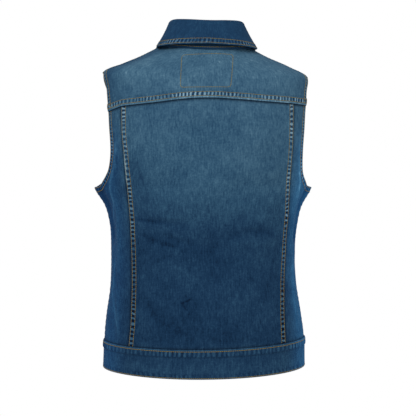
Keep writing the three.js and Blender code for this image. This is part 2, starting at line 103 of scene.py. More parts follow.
SECTION_NAMES = ("level", "side", "back", "front", "half", "back_deep", "front_deep", "box", "sway", "tilt")
SECTIONS = np.array(
    [
        [0, 5.5, -1.2, 2, 174, 103, 103, 2.15, -1, 2],
        [48, 56.5, 50.3, 50, 172.5, 105, 104, 2.15, -1, 3.5],
        [86, 89, 86, 86, 169.5, 106, 103, 2.15, 0, 2.5],
        [133, 133, 133, 133, 162.7, 103, 100, 2.2, 1.0, 1],
        [195, 195, 195, 195, 159, 97, 98, 2.2, 2, 0],
        [255, 255, 255, 255, 163, 101, 110, 2.15, 2, 0],
        [285, 286.5, 285, 285, 171, 105, 117, 1.95, 2.3, 1],
        [312, 317, 312, 312, 188, 108, 121, 1.7, 2.8, 2],
        [345, 347, 344, 341, 180, 109, 121, 1.95, 1, 1],
        [385, 385, 383, 375, 176, 108, 116, 2.15, -0.3, 0],
        [435, 434, 432, 412, 176.5, 104, 106, 2.25, -0.3, 0],
        [480, 480, 474, 442, 178, 97, 96, 2.25, 0.5, -0.5],
        [513, 509.2, 503, 462, 177, 89, 91, 2.2, 1, -1.5],
        [547, 525.5, 521, 473, 145, 80, 88, 2.15, 0.3, -0.6],
        [588, 540.8, 536, 482, 108, 71, 86, 2.1, 0.6, -0.6],
        [626, 559, 548, 490, 75, 64, 84, 2.05, 1, -0.4],
    ]
)

# The folded edges of the long seams: level, and how far the left and the right one are from the middle.
BACK_SEAM = np.array(
    [
        [48, 128.6, 132], [97, 125.2, 129.5], [140, 124.4, 129.8], [184, 125, 131.3], [228, 126.2, 133.6],
        [272, 129.2, 137], [316, 134.2, 138], [360, 138.7, 139.9], [405, 142.7, 142.3], [450, 144.3, 143.2],
    ]
)

# The yoke's lower edge: turn and level.
YOKE_EDGE = np.array(
    [
        [-75, 458.2], [-55, 458.5], [-40, 459.6], [-28, 461], [-14, 463.8], [-3, 465.4], [5, 464.7],
        [14, 462.2], [28, 456.2], [42, 452.2], [52, 449.5], [60, 445.8], [68, 442.8], [75, 440.5],
    ]
)

# How far the dye has faded along the middle of the back and front: level and share.
FADE_BY_LEVEL = np.array(
    [
        [0, 0.32], [14, 0.37], [26, 0.33], [46, 0.345], [50, 0.315], [85, 0.295], [170, 0.31], [235, 0.34],
        [262, 0.42], [300, 0.53], [370, 0.60], [440, 0.62], [470, 0.64], [540, 0.69], [626, 0.68],
    ]
)

COLLAR_NAMES = ("turn", "fold_up", "fold_out", "edge_turn", "edge_level", "edge_lift", "edge_rise", "bulge")
COLLAR_TABLE = np.array(
    [
        [0, 48.8, -9, 0, 588, 3.5, 17, 0.5],
        [30, 48, -8, 30, 591, 3.5, 13.5, 0.3],
        [60, 44.4, -8, 60, 602, 3.0, 6, -0.8],
        [80, 38.2, -12, 78, 614, 3.0, 1.0, -1.5],
        [90, 35, -14, 88, 615, 3.2, 0, 0],
        [120, 24, -9, 116, 590, 4.5, 0, 4],
        [150, 16, -3, 145, 542, 4.5, 0, 5],
        [170, 9, 1.5, 158, 496, 5.5, 0, 3],
    ]
)
COLLAR_CLOTH = 2.2
COLLAR_FOLD_RADIUS = 3.4
COLLAR_BASE_RISE = 2.6
COLLAR_END_TURN = 170.0
COLLAR_MM_PER_DEGREE = 1.9
STAND_LAP = 8.0
STAND_OUT = 2.8
STAND_IN = 0.5


class Slot(Enum):
    """The record's material slots."""

    DENIM = "denim"
    COLLAR = "collar"
    BUTTONS = "buttons"


class Across(Enum):
    """Which ends of an edge have fine grid lines beside them."""

    NEITHER = (False, False)
    FIRST = (True, False)
    LAST = (False, True)
    BOTH = (True, True)


def smooth_step(x: Array) -> Array:
    """Eases from 0 to 1.

    Args:
        x: Shares, of any value.

    Returns:
        The cubic 3x^2 - 2x^3 of x held between 0 and 1.
    """
    x = np.clip(x, 0.0, 1.0)
    return x * x * (3 - 2 * x)


def column_curve(rows: Array, at: Array) -> Array:
    """Reads a table smoothly.

    Each interval is a cubic Hermite curve, with the slope at a row taken from both its neighbours.

    Args:
        rows: The table, with the place of each row in its first column.
        at: Places to read, of any shape.

    Returns:
        The other columns at those places, along a new last axis.
    """
    knots, values = rows[:, 0], rows[:, 1:]
    at = np.clip(at, knots[0], knots[-1])
    step = np.diff(knots)
    rate = np.diff(values, axis=0) / step[:, None]
    slope = np.empty_like(values)
    slope[1:-1] = (rate[:-1] * step[1:, None] + rate[1:] * step[:-1, None]) / (step[1:] + step[:-1])[:, None]
    slope[0], slope[-1] = rate[0], rate[-1]
    i = np.clip(np.searchsorted(knots, at, side="right") - 1, 0, len(step) - 1)
    h = step[i][..., None]
    t = (at - knots[i])[..., None] / h
    return (
        (1 + 2 * t) * (1 - t) ** 2 * values[i]
        + t * (1 - t) ** 2 * h * slope[i]
        + t * t * (3 - 2 * t) * values[i + 1]
        + t * t * (t - 1) * h * slope[i + 1]
    )


def unit(vectors: Array) -> Array:
    """Scales vectors to length 1.

    Args:
        vectors: Vectors along the last axis.

    Returns:
        The unit vectors.
    """
    return vectors / np.maximum(np.linalg.norm(vectors, axis=-1, keepdims=True), 1e-9)


def grid_quads(index: Array) -> Array:
    """Quads between the neighbouring rows and columns of a grid.

    Args:
        index: Corner numbers, rows by columns.

    Returns:
        Four corner numbers for each quad.
    """
    return np.stack([index[:-1, :-1], index[:-1, 1:], index[1:, 1:], index[1:, :-1]], -1).reshape(-1, 4)


def add_object(name: str, data: bpy.types.ID) -> bpy.types.Object:
    """Makes an object and links it to the scene.

    Args:
        name: Its name.
        data: Its mesh, camera or light.

    Returns:
        The object.
    """
    made = bpy.data.objects.new(name, data)
    bpy.context.scene.collection.objects.link(made)
    return made


def quad_mesh(name: str, points: Array, quads: Array) -> bpy.types.Mesh:
    """Makes a smooth mesh of quads.

    Args:
        name: Mesh name.
        points: Points in metres.
        quads: Corner numbers of the quads.

    Returns:
        The mesh, whose edges are still to be worked out.
    """
    mesh = bpy.data.meshes.new(name)
    mesh.vertices.add(len(points))
    mesh.vertices.foreach_set("co", points.ravel())
    mesh.loops.add(quads.size)
    mesh.loops.foreach_set("vertex_index", quads.ravel())
    mesh.polygons.add(len(quads))
    mesh.polygons.foreach_set("loop_start", np.arange(0, quads.size, 4))
    mesh.polygons.foreach_set("use_smooth", np.ones(len(quads), bool))
    return mesh


@dataclass(frozen=True)
class Form:
    """The bare form that all cloth lies on, as rings between an ellipse and a rounded box."""

    sections: Array = field(default_factory=lambda: SECTIONS)

    def section(self, level: Array) -> dict[str, Array]:
        """Reads every ring size at some levels.

        Args:
            level: Levels.

        Returns:
            An array for each column name.
        """
        values = column_curve(self.sections, np.asarray(level, float))
        return {name: values[..., k] for k, name in enumerate(SECTION_NAMES[1:])}

    def point(self, turn: Array, level: Array) -> Array:
        """Points of the form.

        A ring is |x / half|^box + |y / deep|^box = 1, and its height goes from that of the side to that
        of the back or front with the square of the cosine.

        Args:
            turn: Turns in degrees.
            level: Levels.

        Returns:
            Points in mm, along a new last axis.
        """
        turn, level = np.broadcast_arrays(np.asarray(turn, float), np.asarray(level, float))
        at = self.section(level)
        angle = np.radians(turn)
        s, c = np.sin(angle), np.cos(angle)
        k = (np.abs(s) ** at["box"] + np.abs(c) ** at["box"]) ** (-1 / at["box"])
        deep = np.where(c > 0, at["back_deep"], at["front_deep"])
        end = np.where(c > 0, at["back"], at["front"])
        height = at["side"] * s * s + end * c * c - at["tilt"] * s
        return np.stack([at["sway"] + at["half"] * s * k, deep * c * k, height], -1)

    def normal(self, turn: Array, level: Array) -> Array:
        """Outward unit normals of the form.

        Args:
            turn: Turns in degrees.
            level: Levels.

        Returns:
            Unit vectors along a new last axis.
        """
        level = np.asarray(level, float)
        round_ = self.point(turn + 1.0, level) - self.point(turn - 1.0, level)
        up = self.point(turn, np.minimum(level + 2, NECK)) - self.point(turn, np.maximum(level - 2, 0))
        return unit(np.cross(up, round_))

    def turn_at(self, x: Array, level: Array, front: bool = False) -> Array:
        """The turn at which the form is so far to the wearer's left.

        Args:
            x: Distances from the middle plane.
            level: Levels.
            front: Whether the place is on the front.

        Returns:
            Turns in degrees, from -180 to 180.
        """
        at = self.section(level)
        out = np.asarray(x, float) - at["sway"]
        share = (np.abs(out) / at["half"]) ** at["box"]
        turn = np.degrees(np.arctan((share / (1 - share)) ** (1 / at["box"])))
        return np.where(out < 0, -1, 1) * (180 - turn if front else turn)

    def locate(self, points: Array, start: Array) -> Array:
        """The places whose form points come nearest to given points, by Newton steps.

        Args:
            points: Points in mm.
            start: Places near them.

        Returns:
            Places as turn and level along the last axis.
        """
        places = np.array(start, float)
        for _ in range(5):
            turn, level = places[:, 0], places[:, 1]
            here = self.point(turn, level)
            by_turn = (self.point(turn + 0.5, level) - self.point(turn - 0.5, level)) / 1.0
            by_level = self.point(turn, level + 0.5) - self.point(turn, level - 0.5)
            miss = points - here
            a, b, d = (by_turn**2).sum(-1), (by_turn * by_level).sum(-1), (by_level**2).sum(-1)
            e, f = (by_turn * miss).sum(-1), (by_level * miss).sum(-1)
            det = np.maximum(a * d - b * b, 1e-6)
            places[:, 0] += (d * e - b * f) / det
            places[:, 1] += (a * f - b * e) / det
        return places


FORM = Form()


@dataclass(frozen=True)
class Fold:
    """A soft ridge, or with a negative height a trough, from one place to another.

    The same shape serves as a stroke of tone, with a share in place of the height: paler strokes are
    painted highlights on ridges that partly stand for rubbing, darker ones painted shade in creases.
    """

    start: tuple[float, float]
    end: tuple[float, float]
    width: float
    height: float
    bow: float = 0.0

    def rise(self, turn: Array, level: Array) -> Array:
        """How far it moves the cloth out.

        The cross section is a bell curve, the ends fade out, and bow bends its middle sideways.

        Args:
            turn: Turns.
            level: Levels.

        Returns:
            Heights in mm, or shares for a stroke of dye.
        """
        run = np.array([(self.end[0] - self.start[0]) * FOLD_MM_PER_DEGREE, self.end[1] - self.start[1]])
        x, y = (turn - self.start[0]) * FOLD_MM_PER_DEGREE, level - self.start[1]
        length = float(np.hypot(*run))
        along = (x * run[0] + y * run[1]) / length**2
        beside = (x * run[1] - y * run[0]) / length - self.bow * 4 * along * (1 - along)
        fade = smooth_step((along + 0.25) / 0.4) * smooth_step((1.25 - along) / 0.4)
        return self.height * fade * np.exp(-((beside / self.width) ** 2))


LARGE_FOLDS = (
    Fold((77, 312), (76, 225), 13, -4.5),
    Fold((-77, 312), (-76, 225), 13, -5),
    Fold((61, 350), (63, 200), 8, 2.2),
    Fold((-62, 345), (-64, 205), 8, 2),
    Fold((41, 262), (12, 254), 9, -1.8),
    Fold((30, 226), (-6, 214), 11, -1.6),
    Fold((-12, 232), (-42, 246), 10, -1.6),
    Fold((36, 118), (12, 74), 10, -1.8),
    Fold((112, 300), (150, 250), 14, -2.5),
    Fold((-110, 305), (-148, 262), 14, -2.5),
    Fold((120, 205), (160, 196), 11, -2),
    Fold((-122, 198), (-158, 208), 11, -2),
)
SMALL_FOLDS = (
    Fold((53.5, 385), (50.5, 318), 3.0, 1.2, 1.0),
    Fold((38.5, 353), (33.5, 326), 2.2, 0.7, -2.0),
    Fold((61, 443), (56, 430), 2.6, 0.9),
    Fold((57, 440), (61, 424), 2.2, -0.7),
    Fold((37, 257), (16, 250), 4.0, -1.1, 2.0),
    Fold((34, 266), (20, 262), 3.0, 0.7),
    Fold((24, 233), (9, 221), 3.5, -0.9, -1.5),
    Fold((-24, 244), (-44, 236), 4.0, -1.0, 2.0),
    Fold((-20, 226), (-38, 222), 5.0, 0.8),
    Fold((13, 132), (8, 108), 2.6, -0.7, 1.5),
    Fold((62, 128), (58, 66), 5.0, 1.6, 1.5),
    Fold((-68, 190), (-65, 74), 5.0, 1.6, -2.0),
    Fold((73, 196), (66, 150), 6.0, -1.4),
    Fold((-72, 240), (-68, 190), 5.0, -1.3),
    Fold((-8, 420), (22, 408), 12.0, -0.9),
    Fold((-34, 400), (-14, 372), 10.0, 0.8),
    Fold((40, 560), (16, 520), 9.0, -0.9),
    Fold((-42, 556), (-14, 524), 9.0, -0.8),
    Fold((118, 330), (134, 300), 6.0, 1.4, 2.0),
    Fold((-116, 326), (-136, 304), 6.0, 1.3, -2.0),
    Fold((104, 242), (128, 224), 5.0, -1.3, 2.0),
    Fold((-104, 236), (-130, 226), 5.0, -1.2, -2.0),
    Fold((126, 150), (158, 128), 8.0, -1.2, 3.0),
    Fold((-120, 142), (-154, 128), 8.0, -1.2, -2.0),
    Fold((168, 322), (150, 316), 4.0, -0.9),
    Fold((-168, 232), (-150, 238), 4.0, -0.9),
    Fold((140, 430), (122, 470), 10.0, 1.2, 3.0),
    Fold((-140, 424), (-120, 468), 10.0, 1.2, -3.0),
)


# Strokes along the folds: paler ones on the ridges are painted highlights, partly rubbed cloth, darker ones in
# the creases painted shade.
FOLD_HIGHLIGHTS_AND_SHADE = (
    Fold((59, 388), (64, 290), 3.0, 0.19, 1.0),
    Fold((64, 292), (73, 240), 3.0, 0.19, -1.0),
    Fold((72, 196), (71, 136), 2.6, 0.15),
    Fold((70, 130), (58, 76), 3.0, 0.17, 1.5),
    Fold((-60, 396), (-63, 300), 2.6, 0.20, -1.0),
    Fold((-66, 190), (-62, 78), 4.0, 0.07, -2.0),
    Fold((50.5, 368), (47.6, 322), 2.0, 0.40),
    Fold((42, 260), (28, 255), 3.0, -0.13),
    Fold((40, 235), (19, 216), 3.4, -0.11, -1.5),
    Fold((39.5, 345), (35.0, 316), 2.2, -0.10, -1.5),
    Fold((38, 124), (22, 74), 6.0, -0.05, 2.0),
    Fold((14.4, 124), (9.5, 131), 1.7, -0.20),
    Fold((15, 125), (11.5, 113), 1.7, -0.18),
    Fold((-37.7, 437), (-44, 428), 2.4, -0.07),
    Fold((-24, 244), (-44, 236), 3.0, -0.05),
)


def cloth_shift(turn: Array, level: Array) -> Array:
    """How far folds and slow waves move the cloth out from the form.

    Args:
        turn: Turns.
        level: Levels.

    Returns:
        Heights in mm.
    """
    folds = sum(fold.rise(turn, level) for fold in (*LARGE_FOLDS, *SMALL_FOLDS))
    x = turn * FOLD_MM_PER_DEGREE
    waves = (
        0.30 * np.sin(x / 17 + level / 41 + 0.7)
        + 0.26 * np.sin(x / 29 - level / 23 + 2.1)
        + 0.22 * np.sin(level / 15 + 0.9 * np.sin(x / 33))
        + 0.12 * np.sin(x / 8.5 + level / 9.3 + 1.3)
    )
    middle = smooth_step((180 - np.abs(turn)) / 14)
    return (folds + waves * smooth_step((level - 50) / 40)) * middle


class Edge:
    """A line of places on the form, read by share of its length."""

    def __init__(self, places: Array) -> None:
        """Measures the line.

        Args:
            places: Turn and level of each place.
        """
        self.places = np.asarray(places, float)
        points = FORM.point(self.places[:, 0], self.places[:, 1])
        reached = np.concatenate([[0.0], np.cumsum(np.linalg.norm(np.diff(points, axis=0), axis=1))])
        self.length = float(reached[-1])
        self.shares = reached / self.length

    def at(self, share: Array) -> Array:
        """Places at shares of the length.

        Args:
            share: Shares from 0 to 1.

        Returns:
            Turn and level along the last axis.
        """
        return np.stack([np.interp(share, self.shares, self.places[:, k]) for k in (0, 1)], -1)

    def corner(self, index: int) -> float:
        """The share at which one of the given places lies.

        Args:
            index: Number of the place.

        Returns:
            Its share.
        """
        return float(self.shares[index])


def fill(bottom: Edge, top: Edge, left: Edge, right: Edge, s: Array, t: Array) -> Array:
    """A grid of places inside four edges.

    It adds the surfaces ruled across and up, and takes off the bilinear one between the corners.

    Args:
        bottom: Edge where t is 0.
        top: Edge where t is 1.
        left: Edge where s is 0.
        right: Edge where s is 1.
        s: Shares across.
        t: Shares up.

    Returns:
        Places, rows by columns by turn and level.
    """
    b, u = bottom.at(s)[None], top.at(s)[None]
    low, high = left.at(t)[:, None], right.at(t)[:, None]
    s, t = s[None, :, None], t[:, None, None]
    corners = (
        (1 - s) * (1 - t) * bottom.at(0.0) + s * (1 - t) * bottom.at(1.0)
        + (1 - s) * t * top.at(0.0) + s * t * top.at(1.0)
    )
    return (1 - t) * b + t * u + (1 - s) * low + s * high - corners


FINE_LINES = np.array(
    [0, 0.2, 0.5, 1.0, 1.8, 2.8, 3.9, 5, 6.1, 7.2, 8.3, 9.4, 10.5, 11.6, 12.4, 13.1, 13.9, 14.6, 15.3, 16.6]
)


def graded(length: float, step: float, ends: Across = Across.NEITHER) -> Array:
    """Shares of a length, even in the middle and close together beside the chosen ends.

    Args:
        length: Length in mm.
        step: Spacing of the even part in mm.
        ends: Which ends have close lines.

    Returns:
        Rising shares from 0 to 1.
    """
    first, last = ends.value
    fine = FINE_LINES * min(1.0, 0.45 * length / FINE_LINES[-1])
    low = fine if first else fine[:1]
    high = length - (fine if last else fine[:1])[::-1]
    count = max(1, round((high[0] - low[-1]) / step))
    middle = np.linspace(low[-1], high[0], count + 1)[1:-1]
    return np.concatenate([low, middle, high]) / length


def joined(first: Array, second: Array, corner: float) -> Array:
    """Shares on both sides of a corner, as one list.

    Args:
        first: Shares of the part before it.
        second: Shares of the part after it.
        corner: The corner's share.

    Returns:
        Rising shares from 0 to 1.
    """
    return np.concatenate([first * corner, corner + second[1:] * (1 - corner)])


class Patchwork:
    """Places and quads of a piece of cloth, built up from grids that share rows."""

    def __init__(self) -> None:
        """Starts with nothing."""
        self.places = np.empty((0, 2))
        self.quads = np.empty((0, 4), int)
        self.last: Array | None = None

    def add(self, grid: Array, skip: int = 0, join: int = 0) -> "Patchwork":
        """Adds a grid above the last one. Its first row takes over places of the row below.

        Args:
            grid: Places, rows by columns by turn and level.
            skip: Columns of the row below that it leaves out.
            join: The column where the shared ones begin.

        Returns:
            This patchwork.
        """
        rows, columns = grid.shape[:2]
        index = np.full((rows, columns), -1)
        if self.last is not None:
            shared = self.last[skip:][: columns - join]
            index[0, join : join + len(shared)] = shared
        new = index < 0
        index[new] = len(self.places) + np.arange(new.sum())
        self.places = np.concatenate([self.places, grid[new]])
        self.quads = np.concatenate([self.quads, grid_quads(index)])
        self.last = index[-1]
        return self


@dataclass(frozen=True)
class Pucker:
    """Ripples across a sewn strip, between its rows of stitches, where the thread has drawn the cloth in."""

    height: float = 0.42
    period: float = 6.4
    skew: float = 0.1
    phase: float = 0.0
    rows: tuple[float, float] = (2.0, 9.3)
    # How strongly the ripples' crests are painted paler, as rubbed cloth, and their troughs darker, as painted
    # shade.
    contrast: float = 0.3

    def turns(self, along: Array, across: Array) -> Array:
        """The number of ripples from the start of the seam, whose lengths wander.

        Args:
            along: Distance along the seam.
            across: Distance from the folded edge.

        Returns:
            Numbers of ripples.
        """
        wander = 0.24 * np.sin(along / 23 + self.phase) + 0.17 * np.sin(along / 9.7 + 2 * self.phase)
        return (along + self.skew * across) / self.period + wander

    def strip(self, across: Array) -> Array:
        """The share of the way from the first row of stitches (0) to the last (1)."""
        return (across - self.rows[0]) / (self.rows[1] - self.rows[0])

    def size(self, along: Array) -> Array:
        """How strong the ripples are along the seam, about 1."""
        return 0.9 + 0.25 * np.sin(along / 31 + 3 * self.phase) + 0.2 * np.sin(along / 11 + self.phase)

    def wave(self, along: Array, across: Array) -> Array:
        """The ripples, from about -1 to 1.

        A sine wave with narrow crests, full between the rows, and a faint trace of it in the cloth
        beyond them.

        Args:
            along: Distance along the seam.
            across: Distance from the folded edge.

        Returns:
            Wave heights.
        """
        turn = 2 * np.pi * self.turns(along, across)
        share = self.strip(across)
        window = smooth_step((share + 0.1) / 0.25) * smooth_step((1.1 - share) / 0.25)
        beyond = 0.28 * np.exp(-(((across - self.rows[1] - 5) / 5) ** 2))
        return np.sin(turn + 0.4 * np.sin(turn)) * self.size(along) * (window + beyond)


@dataclass
class Trim:
    """What happens to the cloth beside one line of a piece, such as a lapped edge or a hem."""

    line: Array
    width: float = 12.0
    outer: float = 0.0
    inner: float = 0.0
    groove: float = 0.0
    round_off: float = 0.0
    pucker: Pucker | None = None
    # How pale the folded edge is rubbed, and how dark the painted shade right at the edge, in the rows of
    # stitches and beyond the step.
    worn: float = 0.0
    glow: float = 0.9
    shade: float = 0.0

    def __post_init__(self) -> None:
        """Resamples the line every 1.5 mm."""
        edge = Edge(self.line)
        count = max(2, int(edge.length / 1.5))
        shares = np.linspace(0, 1, count + 1)
        places = edge.at(shares)
        self.points = FORM.point(places[:, 0], places[:, 1])
        self.reached = shares * edge.length

    def measure(self, points: Array) -> tuple[Array, Array]:
        """Distance from the line, and how far along it.

        Args:
            points: Points in mm.

        Returns:
            Distances, FAR for what is out of reach, and lengths along.
        """
        coarse = self.points[::8]
        near = np.zeros(len(points), bool)
        for start in range(0, len(points), 8192):
            part = points[start : start + 8192]
            gap = ((part[:, None] - coarse[None]) ** 2).sum(-1).min(1)
            near[start : start + 8192] = gap < 34**2
        distance, along = np.full(len(points), FAR), np.zeros(len(points))
        chosen = np.flatnonzero(near)
        for start in range(0, len(chosen), 4096):
            part = chosen[start : start + 4096]
            p = points[part]
            i = ((p[:, None] - self.points[None]) ** 2).sum(-1).argmin(1)
            i = np.clip(i, 1, len(self.points) - 2)
            a, b = self.points[i - 1], self.points[i + 1]
            run = b - a
            share = np.clip(((p - a) * run).sum(-1) / (run**2).sum(-1), 0, 1)
            distance[part] = np.linalg.norm(p - a - share[:, None] * run, axis=1)
            along[part] = self.reached[i - 1] + share * (self.reached[i + 1] - self.reached[i - 1])
        return distance, along


@dataclass
class Finish:
    """Heights of a piece's two faces over the form, and what its material reads at each vertex."""

    outer: Array
    inner: Array
    marks: dict[str, Array]


class Surface:
    """The outer and inner faces of a piece of cloth over places of the form."""

    def __init__(
        self,
        trims: Sequence[Trim] = (),
        base: float = 0.0,
        cloth: float = CLOTH,
        lift: Callable[[Array, Array], Array] | None = None,
        tucked: Callable[[Array, Array], Array] | None = None,
    ) -> None:
        """Keeps what shapes the piece.

        Args:
            trims: Its seams, laps and hems.
            base: How far its inner face lies off the form.
            cloth: Its thickness.
            lift: Extra distance off the form, by turn and level.
            tucked: From 0 to 1 where it goes under its neighbour, by turn and level.
        """
        self.trims, self.base, self.cloth = list(trims), base, cloth
        self.lift, self.tucked = lift, tucked

    def finish(self, places: Array) -> Finish:
        """Heights of both faces above the form, and the marks that the material reads.

        Each trim raises or lowers the faces near its line, adds its ripples between the rows, presses
        the rows in, rounds off the edge, and marks the cloth as rubbed pale on the ridge, with painted shade
        at the edge, in the rows and beyond the step, and a painted shadow beside it.

        Args:
            places: Turn and level along the last axis.

        Returns:
            The heights and the marks.
        """
        turn, level = places[:, 0], places[:, 1]
        points = FORM.point(turn, level)
        shift = cloth_shift(turn, level) + self.base
        if self.lift is not None:
            shift = shift + self.lift(turn, level)
        outer_rise, inner_rise, ripple, sink = (np.zeros(len(places)) for _ in range(4))
        marks = {name: np.zeros(len(places)) for name in MARKS}
        marks["strip"] += NO_STRIP
        full, nearest = np.ones(len(places)), np.full(len(places), 25.0)
        for trim in self.trims:
            distance, along = trim.measure(points)
            step = smooth_step((trim.width + LAP_SLOPE - distance) / LAP_SLOPE)
            outer_rise = np.maximum(outer_rise, trim.outer * step)
            inner_rise = np.where(np.abs(trim.inner * step) > np.abs(inner_rise), trim.inner * step, inner_rise)
            if trim.pucker is not None:
                pucker = trim.pucker
                ripple += pucker.height * pucker.wave(along, distance)
                here = distance < nearest
                nearest = np.where(here, distance, nearest)
                # What the material reads of the nearest ripples: their count, place across the strip, and the
                # strength of their rubbed crests and painted shaded troughs.
                mine = {
                    "run": pucker.turns(along, distance),
                    "strip": pucker.strip(distance),
                    "bead": pucker.contrast * pucker.size(along),
                }
                marks |= {name: np.where(here, value, marks[name]) for name, value in mine.items()}
                for row in pucker.rows:
                    sink += 0.12 * np.exp(-(((distance - row) / 0.8) ** 2))
                    # Painted shade in the groove of each row of stitches.
                    marks["worn"] -= 0.3 * trim.worn * np.exp(-(((distance - row) / 0.9) ** 2))
            sink += trim.groove * np.exp(-((distance / 1.3) ** 2))
            if trim.round_off:
                share = 1 - np.clip(distance / trim.round_off, 0, 1)
                full = np.minimum(full, 0.12 + 0.88 * np.sqrt(np.clip(1 - share**2, 0, 1)))
            marks["worn"] += trim.worn * np.exp(-(((distance - trim.glow) / (0.3 + trim.glow)) ** 2))
            # Painted shade: a dark line right at the folded edge, and a dark valley beyond the lap's step.
            marks["worn"] -= 1.6 * trim.worn * np.exp(-((distance / 0.3) ** 2))
            marks["worn"] -= 0.2 * trim.worn * np.exp(-((distance - trim.width - 1.6) ** 2) / 2.2)
            marks["shade"] = np.maximum(marks["shade"], trim.shade * np.exp(-((distance / 2.9) ** 2)))
        thin = 1.0 if self.tucked is None else 1 - TUCKED_THIN * self.tucked(turn, level)
        inner = shift + inner_rise * thin
        top = shift + (outer_rise + self.cloth + ripple - sink) * thin
        outer = inner + np.maximum((top - inner) * full, THINNEST)
        return Finish(outer, inner, marks)

    def points(self, places: Array, above: float = 0.0) -> tuple[Array, Array]:
        """Points of the outer face, with the form's normals there.

        Args:
            places: Turn and level along the last axis.
            above: How far over the face.

        Returns:
            Points in mm and unit normals.
        """
        normal = FORM.normal(places[:, 0], places[:, 1])
        height = self.finish(places).outer + above
        return FORM.point(places[:, 0], places[:, 1]) + height[:, None] * normal, normal


def side_shading_share(turn: Array) -> Array:
    """From 0 to 1 towards the sides, which turn away from the light and get painted shading.

    Args:
        turn: Turns.

    Returns:
        Shares.
    """
    return smooth_step((np.abs(np.sin(np.radians(turn))) - 0.72) / 0.26)


def fade_and_shading_at(turn: Array, level: Array) -> Array:
    """How far the dye has faded, from 0 for the dark lower back to 1 for the pale shoulders, with painted
    shading of the sides and painted highlights and shade along the folds.

    Args:
        turn: Turns.
        level: Levels.

    Returns:
        Shares.
    """
    base = column_curve(FADE_BY_LEVEL, level)[..., 0]
    side = side_shading_share(turn)
    patches = (
        0.5 * np.sin(turn / 9 + level / 37 + 0.4) + 0.5 * np.sin(turn / 21 - level / 19 + 1.9)
        + 0.4 * np.sin(level / 13 + np.sin(turn / 11))
    )
    right = 0.025 * smooth_step((-turn - 10) / 20)
    left = smooth_step((turn - 22) / 20) * smooth_step((400 - level) / 60) * smooth_step((level - 240) / 60)
    strokes = sum(stroke.rise(turn, level) for stroke in FOLD_HIGHLIGHTS_AND_SHADE)
    # Painted shading of the sides: their tone is drawn to a set value, one for each side.
    aside = np.where(turn > 0, 0.44, 0.61 + 0.05 * smooth_step((240 - level) / 60))
    return base + 0.85 * side * (aside - base) + 0.02 * patches - 0.12 * left + right + strokes


def make_shell(
    name: str, outer: Array, inner: Array, quads: Array, uv: Array, values: dict[str, Array]
) -> bpy.types.Object:
    """Makes a closed mesh from two layers of points that share their quads.

    The rim runs along each side that only one quad has. All faces are turned over if the volume that
    they enclose comes out negative.

    Args:
        name: Object name.
        outer: Points of the outer face in metres.
        inner: Points of the inner face in metres.
        quads: Corner numbers of the quads.
        uv: Cloth coordinates of each place in metres.
        values: Numbers for each place, by attribute name.

    Returns:
        The object, linked to the scene.
    """
    count = len(outer)
    points = np.concatenate([outer, inner])
    sides = np.concatenate([quads[:, [k, (k + 1) % 4]] for k in range(4)])
    key, back = sides[:, 0] * count + sides[:, 1], sides[:, 1] * count + sides[:, 0]
    rim = sides[~np.isin(key, back)]
    closing = np.stack([rim[:, 1], rim[:, 0], rim[:, 0] + count, rim[:, 1] + count], -1)
    faces = np.concatenate([quads, quads[:, ::-1] + count, closing])
    a, b, c, d = (points[faces[:, k]] for k in range(4))
    volume = (np.cross(a, b) * c).sum() + (np.cross(a, c) * d).sum()
    if volume < 0:
        faces = faces[:, ::-1]
    mesh = quad_mesh(name, points, faces)
    layer = mesh.uv_layers.new(name="cloth")
    layer.data.foreach_set("uv", np.concatenate([uv, uv])[faces.ravel()].ravel())
    both = {key: np.concatenate([numbers, numbers]) for key, numbers in values.items()}
    both["inside"] = np.concatenate([np.zeros(count), np.ones(count)])
    for key, numbers in both.items():
        attribute = mesh.attributes.new(key, "FLOAT", "POINT")
        attribute.data.foreach_set("value", numbers.astype(np.float32))
    mesh.update(calc_edges=True)
    mesh.validate()
    return add_object(name, mesh)


def to_frame(points: Array) -> Array:
    """Moves points from above the hem into the row frame.

    Args:
        points: Points in mm above the hem.

    Returns:
        Points in metres.
    """
    return (points - np.array([0, 0, NECK_POINT_HEIGHT])) * MM


def build_cloth(name: str, patchwork: Patchwork, surface: Surface) -> bpy.types.Object:
    """Makes a piece of cloth.

    Args:
        name: Object name.
        patchwork: Its places and quads.
        surface: Its faces over the form.

    Returns:
        The object.
    """
    places = patchwork.places
    turn, level = places[:, 0], places[:, 1]
    base, normal = FORM.point(turn, level), FORM.normal(turn, level)
    made = surface.finish(places)
    outer = to_frame(base + made.outer[:, None] * normal)
    inner = to_frame(base + made.inner[:, None] * normal)
    relief = cloth_shift(turn, level)
    # Painted highlight and shade: the tone is raised on the folds' ridges and lowered in their hollows.
    fade = fade_and_shading_at(turn, level) + 0.03 * np.clip(relief, -3, 3)
    # Painted shade tint on the sides below level 440, weaker on the wearer's left.
    cool = side_shading_share(turn) * smooth_step((440 - level) / 70) * np.where(turn > 0, 0.68, 1.0)
    uv = np.stack([turn * FOLD_MM_PER_DEGREE * 0.8, level], -1) * MM
    return make_shell(name, outer, inner, patchwork.quads, uv, {"fade": fade, "cool": cool} | made.marks)


def yoke_level(turn: Array) -> Array:
    """The yoke's lower edge, which hangs lowest at the left armhole.

    Args:
        turn: Turns.

    Returns:
        Levels.
    """
    return column_curve(YOKE_EDGE, np.asarray(turn, float))[..., 0]


def back_seam(side: int, shift: float, low: float, high: float, steps: int = 120) -> Array:
    """Places up the seam that runs down the back.

    Args:
        side: 1 for the left, -1 for the right.
        shift: Distance outwards from the folded edge.
        low: Lowest level.
        high: Highest level.
        steps: Number of steps.

    Returns:
        Places.
    """
    level = np.linspace(low, high, steps + 1)
    x = column_curve(BACK_SEAM, level)[:, 0 if side > 0 else 1] + shift
    return np.stack([FORM.turn_at(side * x, level), level], -1)


